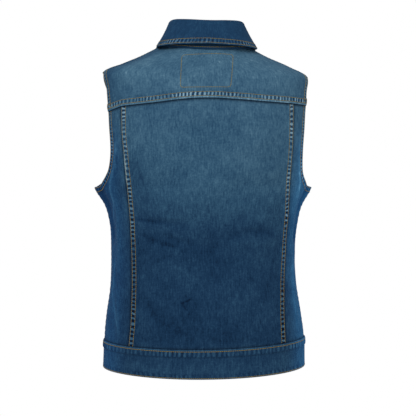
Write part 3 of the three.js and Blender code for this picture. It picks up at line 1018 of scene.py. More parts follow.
def back_seam_top(side: int, shift: float, over: float) -> float:
    """The level at which that seam comes to a height over the yoke's edge, by repeated substitution.

    Args:
        side: 1 for the left, -1 for the right.
        shift: Distance outwards from the folded edge.
        over: Height over the yoke's edge.

    Returns:
        The level.
    """
    level = float(yoke_level(45.0 * side))
    for _ in range(12):
        level = float(yoke_level(back_seam(side, shift, level, level, 1)[0, 0])) + over
    return level


def rung(first: Array, last: Array, level: float | Callable[[Array], Array], steps: int = 90) -> Array:
    """Places round the body from one to another.

    Args:
        first: First place.
        last: Last place.
        level: The level, or what gives it by turn.
        steps: Number of steps.

    Returns:
        Places.
    """
    turn = np.linspace(first[0], last[0], steps + 1)
    height = level(turn) if callable(level) else level
    return np.stack([turn, height + 0 * turn], -1)


def side_seam(side: int, low: float, high: float, front: bool = False, under: float = 0.0) -> Array:
    """Places up the side seam or along the shoulder seam.

    Args:
        side: 1 for the left, -1 for the right.
        low: Lowest level.
        high: Highest level.
        front: Whether it is the front's edge.
        under: Turns by which it goes under its neighbour.

    Returns:
        Places.
    """
    level = np.linspace(low, high, 61)
    way = 1 if front else -1
    turn = side * (90 + way * (SIDE_GAP_TURN - under))
    return np.stack([np.full(61, turn), level], -1)


def armhole(side: int, front: bool) -> Array:
    """Half an armhole from the underarm to the point of the shoulder.

    It is an oblong whose height follows 1 - sign(cos) |cos|^power and whose width follows
    sin^power, wider below than above.

    Args:
        side: 1 for the left, -1 for the right.
        front: Whether it is the front half.

    Returns:
        Places.
    """
    angle = np.linspace(0, np.pi, ARMHOLE_STEPS + 1)
    power = ARMHOLE_POWER[front]
    up = (1 - np.sign(np.cos(angle)) * np.abs(np.cos(angle)) ** power) / 2
    wide = ARMHOLE_WIDTHS[front]
    off = np.clip(np.sin(angle), 0, 1) ** power * (wide[0] + (wide[1] - wide[0]) * up)
    way = 1 if front else -1
    turn = side * (90 + way * (SIDE_GAP_TURN + off))
    return np.stack([turn, UNDERARM + (SHOULDER_POINT - UNDERARM) * up], -1)


def armhole_parts(side: int, front: bool) -> tuple[Array, Array, Array]:
    """The foot, the upright part and the top of half an armhole.

    Args:
        side: 1 for the left, -1 for the right.
        front: Whether it is the front half.

    Returns:
        Places of each part.
    """
    places = armhole(side, front)
    return places[: ARMHOLE_CORNER + 1], places[ARMHOLE_CORNER : -ARMHOLE_CORNER], places[-ARMHOLE_CORNER - 1 :]


def cut_armhole(side: int, rise: float, above: bool) -> Array:
    """The upright part of the back's armhole, cut off along the yoke's edge.

    Args:
        side: 1 for the left, -1 for the right.
        rise: Height of the cut over that edge.
        above: Whether the part above the cut is kept.

    Returns:
        Places.
    """
    places = armhole_parts(side, False)[1]
    over = places[:, 1] - yoke_level(places[:, 0]) - rise
    cut = int(np.argmax(over > 0))
    share = -over[cut - 1] / (over[cut] - over[cut - 1])
    meet = places[cut - 1] + share * (places[cut] - places[cut - 1])
    return np.vstack([meet, places[cut:]]) if above else np.vstack([places[:cut], meet])


def offset_line(places: Array, distance: float) -> Array:
    """Moves a line sideways over the form, to the right of its direction seen from outside.

    Args:
        places: Places along it.
        distance: Distance in mm.

    Returns:
        Places.
    """
    points, normal = FORM.point(places[:, 0], places[:, 1]), FORM.normal(places[:, 0], places[:, 1])
    run = unit(np.gradient(points, axis=0))
    return FORM.locate(points + distance * unit(np.cross(run, normal)), places)


def under_band(turn: Array, level: Array) -> Array:
    """From 0 to 1 where cloth goes under the waistband.

    Args:
        turn: Turns, which make no difference.
        level: Levels.

    Returns:
        Shares.
    """
    return smooth_step((BAND_HEIGHT + 0.2 - level) / 1.6)


def under_yoke(turn: Array, level: Array) -> Array:
    """From 0 to 1 where cloth goes under the yoke or the waistband.

    Args:
        turn: Turns.
        level: Levels.

    Returns:
        Shares.
    """
    over = level - yoke_level(np.clip(turn, -90, 90))
    below_yoke = np.where(np.abs(turn) < 90, smooth_step((over + 0.2) / 1.6), 0)
    return np.maximum(below_yoke, under_band(turn, level))


def under_shoulder(turn: Array, level: Array) -> Array:
    """From 0 to 1 where a front goes under the back at the shoulder and side, or under the waistband.

    Args:
        turn: Turns.
        level: Levels.

    Returns:
        Shares.
    """
    return np.maximum(smooth_step((90.4 - np.abs(turn)) / 0.9), under_band(turn, level))


def over_seams(turn: Array, level: Array) -> Array:
    """How far the yoke and the waistband rise where they cross the seams that run down the back.

    Args:
        turn: Turns.
        level: Levels.

    Returns:
        Heights in mm.
    """
    x = FORM.point(turn, level)[..., 0]
    seam = column_curve(BACK_SEAM, level)
    beside = np.where(x > 0, x - seam[..., 0], -x - seam[..., 1]) + 4.5
    across = np.exp(-((beside / 7.5) ** 4)) * (np.cos(np.radians(turn)) > 0)
    height = np.where(level > 200, level - yoke_level(np.clip(turn, -90, 90)), BAND_HEIGHT - level)
    return 1.35 * across * np.exp(-((np.maximum(height, 0) / 13) ** 2))


SIDE_PUCKER = Pucker(0.2, 9, rows=(1.0, 6.0), contrast=0.05)


def shadow_lines() -> list[Trim]:
    """The dark lines that the yoke's and the waistband's edges throw on the panels under them.

    Returns:
        Trims along both edges.
    """
    yoke = np.linspace(-75, 75, 301)
    band = np.linspace(-180, 180, 541)
    return [
        Trim(np.stack([yoke, yoke_level(yoke)], -1), 0.2, shade=0.9),
        Trim(np.stack([band, np.full(541, BAND_HEIGHT)], -1), 0.2, shade=0.5),
    ]


class ClothPart:
    """A piece of cloth on the form, which stands for one node of the CAD part."""

    node: str
    flat: tuple[float, float]
    area: float | None = None

    @property
    def name(self) -> str:
        """Its name in the scene."""
        return self.node + "_cloth"

    def surface(self) -> Surface:
        """Its faces."""
        raise NotImplementedError

    def patchwork(self) -> Patchwork:
        """Its places and quads."""
        raise NotImplementedError

    def build(self) -> bpy.types.Object:
        """Returns:
            The piece.
        """
        piece = build_cloth(self.name, self.patchwork(), self.surface())
        return dress_cloth(piece, Slot.DENIM, [self.node])


@dataclass
class BackYoke(ClothPart):
    """The yoke, whose lower edge is folded under and laps over the panels below."""

    name: ClassVar[str] = "yoke_cloth"
    node: str = "back_yoke"
    flat: tuple[float, float] = (0.376, 0.152)
    area: float = 0.045
    step: float = 1.6

    def edges(self) -> dict[str, Array]:
        """Its lines, by name.

        Returns:
            Places of the lower edge, and of the armhole and shoulder edge of each side.
        """
        cuts = {side: cut_armhole(side, 0, True) for side in (1, -1)}
        lines = {"seam": rung(cuts[-1][0], cuts[1][0], yoke_level, 160)}
        for side in (1, -1):
            top = armhole_parts(side, False)[2]
            lines[f"upright{side}"], lines[f"top{side}"] = cuts[side], top
            lines[f"armhole{side}"] = np.vstack([cuts[side], top[1:]])
            lines[f"shoulder{side}"] = side_seam(side, SHOULDER_POINT, NECK)
        return lines

    def surface(self) -> Surface:
        """Its faces, with the lap and the turned armhole edges.

        Returns:
            The faces.
        """
        lines = self.edges()
        pucker = Pucker(0.45, 6.2, phase=0.4, rows=YOKE_ROWS, contrast=0.27)
        trims = [Trim(lines["seam"], pucker=pucker, worn=0.7, glow=1.4, **LAP)]
        for side in (1, -1):
            hem = Pucker(0.25, 5.6, phase=side, contrast=0.22)
            lap = Pucker(0.35, 6.6, phase=2 + side, contrast=0.24)
            trims.append(Trim(lines[f"armhole{side}"], pucker=hem, worn=0.5, **HEM))
            trims.append(Trim(lines[f"shoulder{side}"], pucker=lap, worn=0.5, **LAP))
        return Surface(trims, lift=over_seams)

    def patchwork(self) -> Patchwork:
        """Its two bands, below and above the top of the armholes.

        Returns:
            Its places and quads.
        """
        lines = self.edges()
        right, left = lines["upright-1"], lines["upright1"]
        middle = rung(right[-1], left[-1], right[-1, 1], 160)
        sides = Edge(right), Edge(left)
        seam = Edge(lines["seam"])
        inner = graded(seam.length, self.step, Across.BOTH)
        low = fill(seam, Edge(middle), *sides, inner, graded(sides[0].length, 2.2, Across.FIRST))
        bottom = Edge(np.vstack([lines["top-1"][::-1], middle[1:], lines["top1"][1:]]))
        first, second = (bottom.corner(i) for i in (ARMHOLE_CORNER, ARMHOLE_CORNER + 160))
        ends = graded(first * bottom.length, 2.0, Across.FIRST)
        between, after = first + inner * (second - first), second + (1 - ends[::-1]) * (1 - second)
        across = np.concatenate([ends * first, between[1:], after[1:]])
        shoulders = Edge(lines["shoulder-1"]), Edge(lines["shoulder1"])
        top = Edge(rung(lines["shoulder-1"][-1], lines["shoulder1"][-1], NECK, 160))
        high = fill(bottom, top, *shoulders, across, graded(shoulders[0].length, 2.3, Across.FIRST))
        return Patchwork().add(low).add(high, join=len(ends) - 1)


@dataclass
class BackPanel(ClothPart):
    """The middle of the back, whose side edges are folded under and lap over the side panels."""

    node: str = "back_panel"
    flat: tuple[float, float] = (0.330, 0.430)
    area: float = 0.135
    step: float = 2.6

    def lines(self) -> dict[int, Array]:
        """Its folded edges, left and right."""
        return {side: back_seam(side, 0, FOOT, back_seam_top(side, 0, TUCK)) for side in (1, -1)}

    def surface(self) -> Surface:
        """Its faces, with both laps.

        Returns:
            The faces.
        """
        trims = [
            Trim(line, 11.5, pucker=Pucker(0.5, 7.4, 0.1, 1.2 + side, SEAM_ROWS, 0.33), worn=0.35, **LAP)
            for side, line in self.lines().items()
        ]
        return Surface([*trims, *shadow_lines()], tucked=under_yoke)

    def patchwork(self) -> Patchwork:
        """One band from the waistband to the yoke.

        Returns:
            Its places and quads.
        """
        lines = self.lines()
        left, right = lines[1], lines[-1]
        bottom = Edge(rung(right[0], left[0], FOOT))
        top = Edge(rung(right[-1], left[-1], lambda turn: yoke_level(turn) + TUCK))
        across = graded(bottom.length, self.step, Across.BOTH)
        up = graded(Edge(left).length, 1.75)
        return Patchwork().add(fill(bottom, top, Edge(right), Edge(left), across, up))


def side_name(side: int) -> str:
    """Left or right."""
    return "left" if side > 0 else "right"


@dataclass
class SidePanel(ClothPart):
    """The part of the back between its seam and the side seam, on one side."""

    side: int
    flat: tuple[float, float] = (0.105, 0.430)
    area: float = 0.030
    step: float = 2.1

    @property
    def node(self) -> str:
        """Its node."""
        return "back_side_panel_" + side_name(self.side)

    def surface(self) -> Surface:
        """Its faces, with the armhole's turned edge and the side seam's groove.

        Returns:
            The faces.
        """
        hole = np.vstack([armhole_parts(self.side, False)[0], cut_armhole(self.side, TUCK, False)[1:]])
        seam = back_seam(self.side, 0, FOOT, back_seam_top(self.side, 0, TUCK))
        trims = [
            Trim(hole, pucker=Pucker(0.25, 5.6, phase=3 + self.side, contrast=0.22), worn=0.5, **HEM),
            Trim(side_seam(self.side, FOOT, UNDERARM), 4.5, 0.35, 0.85, 0.3, pucker=SIDE_PUCKER, worn=0.15),
            Trim(seam, 0.2, shade=0.85),
        ]
        return Surface([*trims, *shadow_lines()], tucked=under_yoke)

    def patchwork(self) -> Patchwork:
        """Its bands below and beside the armhole.

        Returns:
            Its places and quads.
        """
        foot = armhole_parts(self.side, False)[0]
        bend = foot[-1]
        upright = cut_armhole(self.side, TUCK, False)
        below = back_seam(self.side, -TUCK, FOOT, bend[1])
        above = back_seam(self.side, -TUCK, bend[1], back_seam_top(self.side, -TUCK, TUCK))
        row = rung(below[-1], bend, bend[1])
        top = Edge(np.vstack([row, foot[::-1][1:]]))
        corner = top.corner(len(row) - 1)
        seam = side_seam(self.side, FOOT, UNDERARM)
        wide = graded(corner * top.length, self.step, Across.LAST)
        across = joined(wide, graded((1 - corner) * top.length, self.step, Across.LAST), corner)
        bottom = Edge(rung(below[0], seam[0], FOOT))
        up = graded(Edge(below).length, self.step, Across.LAST)
        low = fill(bottom, top, Edge(below), Edge(seam), across, up)
        under = Edge(rung(above[-1], upright[-1], lambda turn: yoke_level(turn) + TUCK))
        up = graded(Edge(above).length, self.step)
        high = fill(Edge(row), under, Edge(above), Edge(upright), wide, up)
        return Patchwork().add(low).add(high)


@dataclass
class FrontPanel(ClothPart):
    """One front, from the shoulder seam to the waistband."""

    side: int
    flat: tuple[float, float] = (0.265, 0.560)
    area: float = 0.105
    step: float = 2.9
    shoulder_under: float = 3.5
    seam_under: float = 2.0

    @property
    def node(self) -> str:
        """Its node."""
        return "front_panel_" + side_name(self.side)

    def shoulder(self) -> Array:
        """Its edge under the yoke along the shoulder."""
        return side_seam(self.side, SHOULDER_POINT, NECK, True, self.shoulder_under)

    def surface(self) -> Surface:
        """Its faces, with the armhole's turned edge and the side seam's groove.

        Returns:
            The faces.
        """
        side = self.side
        trims = [
            Trim(armhole(side, True), pucker=Pucker(0.25, 5.8, phase=5 + side, contrast=0.2), worn=0.5, **HEM),
            Trim(side_seam(side, FOOT, UNDERARM, True), 2, groove=0.8, pucker=SIDE_PUCKER, worn=0.15),
            Trim(side_seam(side, SHOULDER_POINT, NECK), 0.2, shade=0.8),
            shadow_lines()[1],
        ]
        return Surface(trims, tucked=under_shoulder)

    def patchwork(self) -> Patchwork:
        """Its bands below, beside and above the armhole.

        Returns:
            Its places and quads.
        """
        side = self.side
        foot, upright, head = armhole_parts(side, True)
        low, high = upright[0, 1], upright[-1, 1]

        def placket_side(first: float, last: float) -> Array:
            """Places up its edge at the placket, from one level to another."""
            level = np.linspace(first, last, 61)
            return np.stack([FORM.turn_at(side * (PLACKET_WIDTH / 2 + 0.3), level, True), level], -1)

        below, beside, above = placket_side(FOOT, low), placket_side(low, high), placket_side(high, NECK)
        low_row = rung(upright[0], beside[0], low)
        high_row = rung(upright[-1], above[0], high)
        seam, shoulder = side_seam(side, FOOT, UNDERARM, True, self.seam_under), self.shoulder()
        low_top = Edge(np.vstack([seam[-1:], foot, low_row[1:]]))
        high_foot = Edge(np.vstack([shoulder[:1], head[::-1], high_row[1:]]))
        first, second = (edge.corner(ARMHOLE_CORNER + 1) for edge in (low_top, high_foot))
        wide = graded((1 - first) * low_top.length, self.step, Across.FIRST)
        ends = graded(first * low_top.length, self.step, Across.FIRST)
        tips = graded(second * high_foot.length, self.step)
        bottom = Edge(rung(seam[0], below[0], FOOT))
        top = Edge(rung(shoulder[-1], above[-1], NECK))
        up = graded(Edge(seam).length, self.step, Across.LAST)
        lower = fill(bottom, low_top, Edge(seam), Edge(below), joined(ends, wide, first), up)
        up = graded(Edge(upright).length, self.step)
        middle = fill(Edge(low_row), Edge(high_row), Edge(upright), Edge(beside), wide, up)
        up = graded(Edge(shoulder).length, self.step, Across.FIRST)
        upper = fill(high_foot, top, Edge(shoulder), Edge(above), joined(tips, wide, second), up)
        return Patchwork().add(lower).add(middle, skip=len(ends) - 1).add(upper, join=len(tips) - 1)


@dataclass
class Placket(ClothPart):
    """A strip down the middle of the front."""

    node: str
    width: float
    base: float
    flat: tuple[float, float]
    cloth: float = 1.2

    def line(self, x: float, low: float = FOOT, high: float = NECK) -> Array:
        """Places up the front at one distance from the middle plane.

        Args:
            x: Distance to the left.
            low: Lowest level.
            high: Highest level.

        Returns:
            Places.
        """
        level = np.linspace(low, high, 121)
        turn = FORM.turn_at(x, level, True)
        return np.stack([np.where(turn < 0, turn + 360, turn), level], -1)

    def surface(self) -> Surface:
        """Its faces, with turned edges.

        Returns:
            The faces.
        """
        trims = [
            Trim(self.line(side * self.width / 2), 9, outer=0.2, round_off=0.8,
                 pucker=Pucker(0.22, 7, phase=side, rows=PLACKET_ROWS, contrast=0.16), worn=0.5)
            for side in (1, -1)
        ]
        return Surface(trims, self.base, self.cloth, tucked=under_band)

    def patchwork(self) -> Patchwork:
        """One band from the waistband to the neck.

        Returns:
            Its places and quads.
        """
        left, right = self.line(self.width / 2), self.line(-self.width / 2)
        bottom, top = Edge(np.stack([left[0], right[0]])), Edge(np.stack([left[-1], right[-1]]))
        across = graded(self.width, 2.4, Across.BOTH)
        up = graded(Edge(left).length, 2.4)
        return Patchwork().add(fill(bottom, top, Edge(left), Edge(right), across, up))


@dataclass
class Waistband(ClothPart):
    """A strip once round the hem, whose right end passes over the left one."""

    node: str = "waistband"
    flat: tuple[float, float] = (0.93, 0.046)
    cloth: float = 2.1
    overlap: float = 2.7
    step: float = 1.9

    def line(self, level: float, steps: int = 720) -> Array:
        """Places once round at a level."""
        turn = np.linspace(BAND_END_TURN, -BAND_END_TURN, steps + 1)
        return np.stack([turn, np.full(steps + 1, level)], -1)

    def lift(self, turn: Array, level: Array) -> Array:
        """How far the right end goes over the left one, and the whole band over the seams."""
        return self.overlap * smooth_step((-turn - 158) / 14) + over_seams(turn, level)

    def surface(self) -> Surface:
        """Its faces, with the lapped upper edge and the folded hem.

        Returns:
            The faces.
        """
        top = Trim(self.line(BAND_HEIGHT), 12, outer=1.45, inner=LAP_BASE, round_off=0.9,
                   pucker=Pucker(0.42, 7.6, 0.05, 2.2, (3.0, 11.5), 0.12), worn=0.6, glow=0.9)
        hem = Trim(self.line(0), 5, round_off=1.1, pucker=Pucker(0.2, 8.6, 0.2, 0.6, (2.0, 8), 0.08), worn=0.5)
        return Surface([top, hem], cloth=self.cloth, lift=self.lift)

    def patchwork(self) -> Patchwork:
        """One band from the hem to its upper edge.

        Returns:
            Its places and quads.
        """
        length = Edge(self.line(BAND_HEIGHT)).length
        turn = self.line(0, round(length / self.step))[:, 0]
        level = graded(BAND_HEIGHT, 2.6, Across.BOTH) * BAND_HEIGHT
        return Patchwork().add(np.stack(np.broadcast_arrays(turn[None], level[:, None]), -1))


@dataclass
class Collar:
    """The collar, turned down over its own stand. Its place across goes 0, 1, 2, 3: neck seam, both ends
    of the fold, and outer edge."""

    name: str = "collar_cloth"
    flat: tuple[float, float] = (0.520, 0.115)
    area: float = 0.043
    step: float = 1.9
    pucker: Pucker = Pucker(0.34, 6.6, 0.2, 1.7, (2.0, 9.6), 0.26)

    def middle(self, turn: Array, across: Array) -> Array:
        """The middle of its thickness: straight up the stand, half round the fold, and down with a bulge.

        Args:
            turn: Turns as a column.
            across: Places across as a row.

        Returns:
            Points, turns by places across.
        """
        turn, across = np.broadcast_arrays(np.asarray(turn, float), np.asarray(across, float))
        table = column_curve(COLLAR_TABLE, np.abs(turn))
        at = {name: table[..., k] for k, name in enumerate(COLLAR_NAMES[1:])}
        up = np.array([0.0, 0.0, 1.0])
        neck = FORM.point(turn, NECK)
        outward = unit(FORM.normal(turn, NECK) * [1, 1, 0])
        lapped = FORM.point(turn, NECK - STAND_LAP) + STAND_OUT * FORM.normal(turn, NECK)
        base = neck + COLLAR_BASE_RISE * up
        base = base + (lapped - base) * self.lap_share(turn)[..., None]
        fold = neck + (at["fold_up"] - COLLAR_FOLD_RADIUS)[..., None] * up + at["fold_out"][..., None] * outward
        angle = (np.pi * np.clip(across - 1, 0, 1))[..., None]
        arc = fold + COLLAR_FOLD_RADIUS * (np.sin(angle) * up - np.cos(angle) * outward)
        edge_turn = np.sign(turn) * at["edge_turn"]
        lift = at["edge_lift"][..., None] * FORM.normal(edge_turn, at["edge_level"])
        rim = FORM.point(edge_turn, at["edge_level"]) + lift + at["edge_rise"][..., None] * up
        out = FORM.normal(edge_turn, (at["edge_level"] + NECK) / 2)
        rise = np.clip(across, 0, 1)[..., None]
        stand = base + (fold - COLLAR_FOLD_RADIUS * outward - base) * rise
        down = np.clip(across - 2, 0, 1)[..., None]
        fall_top = fold + COLLAR_FOLD_RADIUS * outward
        fall = fall_top + (rim - fall_top) * down + at["bulge"][..., None] * np.sin(np.pi * down) * out
        part = across[..., None]
        return np.where(part < 1, stand, np.where(part < 2, arc, fall))

    @staticmethod
    def lap_share(turn: Array) -> Array:
        """From 0 in front to 1 behind, where the stand takes in the neck edge."""
        return smooth_step((130 - np.abs(turn)) / 40)

    @staticmethod
    def inner_lap(turn: Array, across: Array) -> Array:
        """Points up the inside of the neck edge, straight on over it.

        Args:
            turn: Turns as a column.
            across: Places across, turns by places.

        Returns:
            Points in mm.
        """
        low, top = (FORM.point(turn, level) for level in (NECK - STAND_LAP, NECK))
        return low - STAND_IN * FORM.normal(turn, NECK) + (top - low) * across[..., None] / 0.15

    def edge_distance(self, turn: Array) -> Array:
        """Length of the fall from the fold to the outer edge.

        Args:
            turn: Turns as a column.

        Returns:
            Lengths in mm, as a column.
        """
        line = self.middle(turn, np.linspace(2, 3, 13)[None])
        return np.linalg.norm(np.diff(line, axis=1), axis=-1).sum(1)[:, None]

    def layer(self, turn: Array, across: Array, side: float) -> tuple[Array, Array]:
        """Points of one face, with its normals.

        The face that shows ripples between its rows of stitches, waves slowly over the fall, and at the
        foot of the stand goes down inside the neck edge.

        Args:
            turn: Turns as a column.
            across: Places across, as a row or one for each point.
            side: 0.5 for the face that shows, -0.5 for the other.

        Returns:
            Points and unit normals.
        """
        across = np.broadcast_to(across, (len(turn), np.shape(across)[-1]))
        points = self.middle(turn, across)
        round_ = self.middle(turn - 0.4, across) - self.middle(turn + 0.4, across)
        before, after = np.maximum(across - 0.02, 0), np.minimum(across + 0.02, 3)
        along = self.middle(turn, after) - self.middle(turn, before)
        normal = unit(np.cross(along, round_))
        away = (3 - across) * self.edge_distance(turn)
        falling = across >= 2
        full = np.where(falling, 0.25 + 0.75 * np.sqrt(1 - (1 - np.clip(away / 1.2, 0, 1)) ** 2), 1.0)
        height = side * (COLLAR_CLOTH + 0.35 * falling * smooth_step((12 - away) / 1.4)) * full
        if side > 0:
            run = turn * COLLAR_MM_PER_DEGREE
            wave = 0.35 * np.sin(run / 21 + 1.1) + 0.3 * np.sin(run / 12 + across * 2.0)
            wave = wave + 0.25 * np.sin(run / 37)
            height = height + self.pucker.height * falling * self.pucker.wave(run + 0 * away, away)
            height = height + 0.5 * wave * falling * smooth_step((3.2 - across) / 0.6)
        points = points + height[..., None] * normal
        if side > 0:
            share = (1 - smooth_step((across - 0.16) / 0.34)) * self.lap_share(turn)
            points = points + share[..., None] * (self.inner_lap(turn, across) - points)
        return points, normal

    def build(self) -> bpy.types.Object:
        """Returns:
            The collar.
        """
        turn = np.linspace(COLLAR_END_TURN, -COLLAR_END_TURN, 321)[:, None]
        fall = 2 + graded(float(self.edge_distance(np.zeros((1, 1)))[0, 0]), self.step, Across.LAST)
        across = np.concatenate([np.linspace(0, 1, 15)[:-1], np.linspace(1, 2, 13)[:-1], fall])[None]
        outer, inner = (self.layer(turn, across, side)[0] for side in (0.5, -0.5))
        quads = grid_quads(np.arange(outer[..., 0].size).reshape(outer.shape[:2]))
        away = (3 - across) * self.edge_distance(turn)
        fade = 0.5 + 0.10 * np.exp(-(((across - 1.5) / 0.35) ** 2)) + 0 * turn
        falling, run = across >= 2, turn * COLLAR_MM_PER_DEGREE + 0 * away
        worn = 0.6 * np.exp(-(((away - 0.9) / 1.1) ** 2))
        marks = {
            "fade": fade,
            "cool": 0 * away,
            "worn": worn * falling,
            "shade": 0 * away,
            "run": self.pucker.turns(run, away),
            "strip": np.where(falling, self.pucker.strip(away), NO_STRIP),
            "bead": self.pucker.contrast * self.pucker.size(run),
        }
        uv = np.stack(np.broadcast_arrays(turn * COLLAR_MM_PER_DEGREE, across * 45), -1).reshape(-1, 2) * MM
        values = {name: mark.ravel() for name, mark in marks.items()}
        faces = (to_frame(face.reshape(-1, 3)) for face in (outer, inner))
        piece = make_shell(self.name, *faces, quads, uv, values)
        return dress_cloth(piece, Slot.COLLAR, ["collar"])


@dataclass
class Button:
    """A domed metal button with a rolled rim, in the middle of the front."""

    node: str
    level: float
    out: float
    radius: float = 8.5
    height: float = 3.2
    gap: float = 0.4
    steps: int = 48

    def build(self) -> bpy.types.Object:
        """Turns a profile round the cloth's normal.

        Returns:
            The button.
        """
        r, h = self.radius, self.height
        profile = np.array(
            [
                [0, 0], [r - 2.2, 0], [r - 1.0, 0.1], [r - 0.35, 0.45], [r, 1.1], [r, 1.9], [r - 0.3, 2.6],
                [r - 0.9, h - 0.15], [r - 1.5, h], [r - 2.1, h - 0.12], [r - 2.6, h - 0.5], [r - 3.2, h - 0.75],
                [r - 4.4, h - 0.5], [r - 6.2, h - 0.3], [0, h - 0.22],
            ]
        )
        profile[-1, 0] = profile[0, 0] = 0.02
        angle = np.linspace(0, 2 * np.pi, self.steps, endpoint=False)
        turn = float(FORM.turn_at(0.0, np.array(self.level), True))
        normal = FORM.normal(np.array(turn), np.array(self.level))
        side = unit(np.cross([0, 0, 1.0], normal))
        up = np.cross(normal, side)
        round_ = np.cos(angle)[:, None] * side + np.sin(angle)[:, None] * up
        out = self.out + self.gap + cloth_shift(np.array(turn), np.array(self.level))
        seat = FORM.point(turn, self.level) + normal * out
        points = seat + profile[None, :, :1] * round_[:, None] + profile[None, :, 1:] * normal
        index = np.arange(points[..., 0].size).reshape(points.shape[:2])
        quads = grid_quads(np.vstack([index, index[:1]]))
        mesh = bpy.data.meshes.new(self.node + "_metal")
        faces = [*quads.tolist(), index[:, 0].tolist(), index[::-1, -1].tolist()]
        mesh.from_pydata(to_frame(points.reshape(-1, 3)).tolist(), [], faces)
        mesh.polygons.foreach_set("use_smooth", np.ones(len(mesh.polygons), bool))
        mesh.update()
        piece = add_object(self.node + "_metal", mesh)
        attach(piece, "root")
        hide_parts(self.node)
        return piece


@dataclass
class SewnRows:
    """Rows of thread. Each stitch is a short bar that rises out of the cloth and goes back into it."""

    name: str
    pitch: float = 3.1
    length: float = 2.8
    radius: float = 0.44
    rows: list[Array] = field(default_factory=list)

    def on_form(self, surface: Surface, places: Array, pitch: float | None = None) -> "SewnRows":
        """Adds a row on a piece of cloth.

        Args:
            surface: The cloth's faces.
            places: Line of places.
            pitch: Distance from stitch to stitch, if not the usual one.

        Returns:
            These rows.
        """
        edge = Edge(places)
        fine = edge.at(np.linspace(0, 1, max(3, int(edge.length / 0.75))))
        points, normal = surface.points(fine)
        return self.along(points, normal, pitch)

    def along(self, points: Array, normal: Array, pitch: float | None = None) -> "SewnRows":
        """Adds a row on a line of points.

        The bars' middles rise 0.12 mm over the line and their ends dip 0.35 mm under it.

        Args:
            points: Points close together.
            normal: Outward unit normals there.
            pitch: Distance from stitch to stitch, if not the usual one.

        Returns:
            These rows.
        """
        pitch = pitch or self.pitch
        bar = self.length * pitch / self.pitch
        reached = np.concatenate([[0.0], np.cumsum(np.linalg.norm(np.diff(points, axis=0), axis=1))])
        starts = np.arange(0.3, reached[-1] - bar, pitch)
        share = np.array([0.0, 0.22, 0.78, 1.0])
        rise = np.array([-0.35, 0.12, 0.12, -0.35])
        at = starts[:, None] + share * bar
        middle, out = (
            np.stack([np.interp(at, reached, source[:, k]) for k in range(3)], -1)
            for source in (points, normal)
        )
        out = unit(out)
        run = unit(middle[:, -1] - middle[:, 0])[:, None]
        side = unit(np.cross(out, run))
        middle = middle + rise[:, None] * out
        angle = np.linspace(0, 2 * np.pi, 6, endpoint=False)
        thick = self.radius * np.array([0.55, 1, 1, 0.55])[:, None, None]
        ring = np.cos(angle)[:, None] * side[:, :, None] + np.sin(angle)[:, None] * out[:, :, None]
        self.rows.append(middle[:, :, None] + thick * ring)
        return self

    def build(self) -> bpy.types.Object:
        """Makes all the rows as one mesh.

        Returns:
            The object.
        """
        bars = np.concatenate(self.rows)
        count = len(bars)
        index = np.arange(24).reshape(4, 6)
        tube = grid_quads(np.hstack([index, index[:, :1]]))
        caps = np.array([[0, 5, 4, 3], [0, 3, 2, 1], [18, 19, 20, 21], [18, 21, 22, 23]])
        quads = (np.concatenate([tube, caps])[None] + 24 * np.arange(count)[:, None, None]).reshape(-1, 4)
        mesh = quad_mesh(self.name, to_frame(bars.reshape(-1, 3)), quads)
        mesh.update(calc_edges=True)
        piece = add_object(self.name, mesh)
        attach(piece, "root")
        piece.data.materials.append(THREAD.material())
        LOG.info("%s: %d stitches", self.name, count)
        return piece


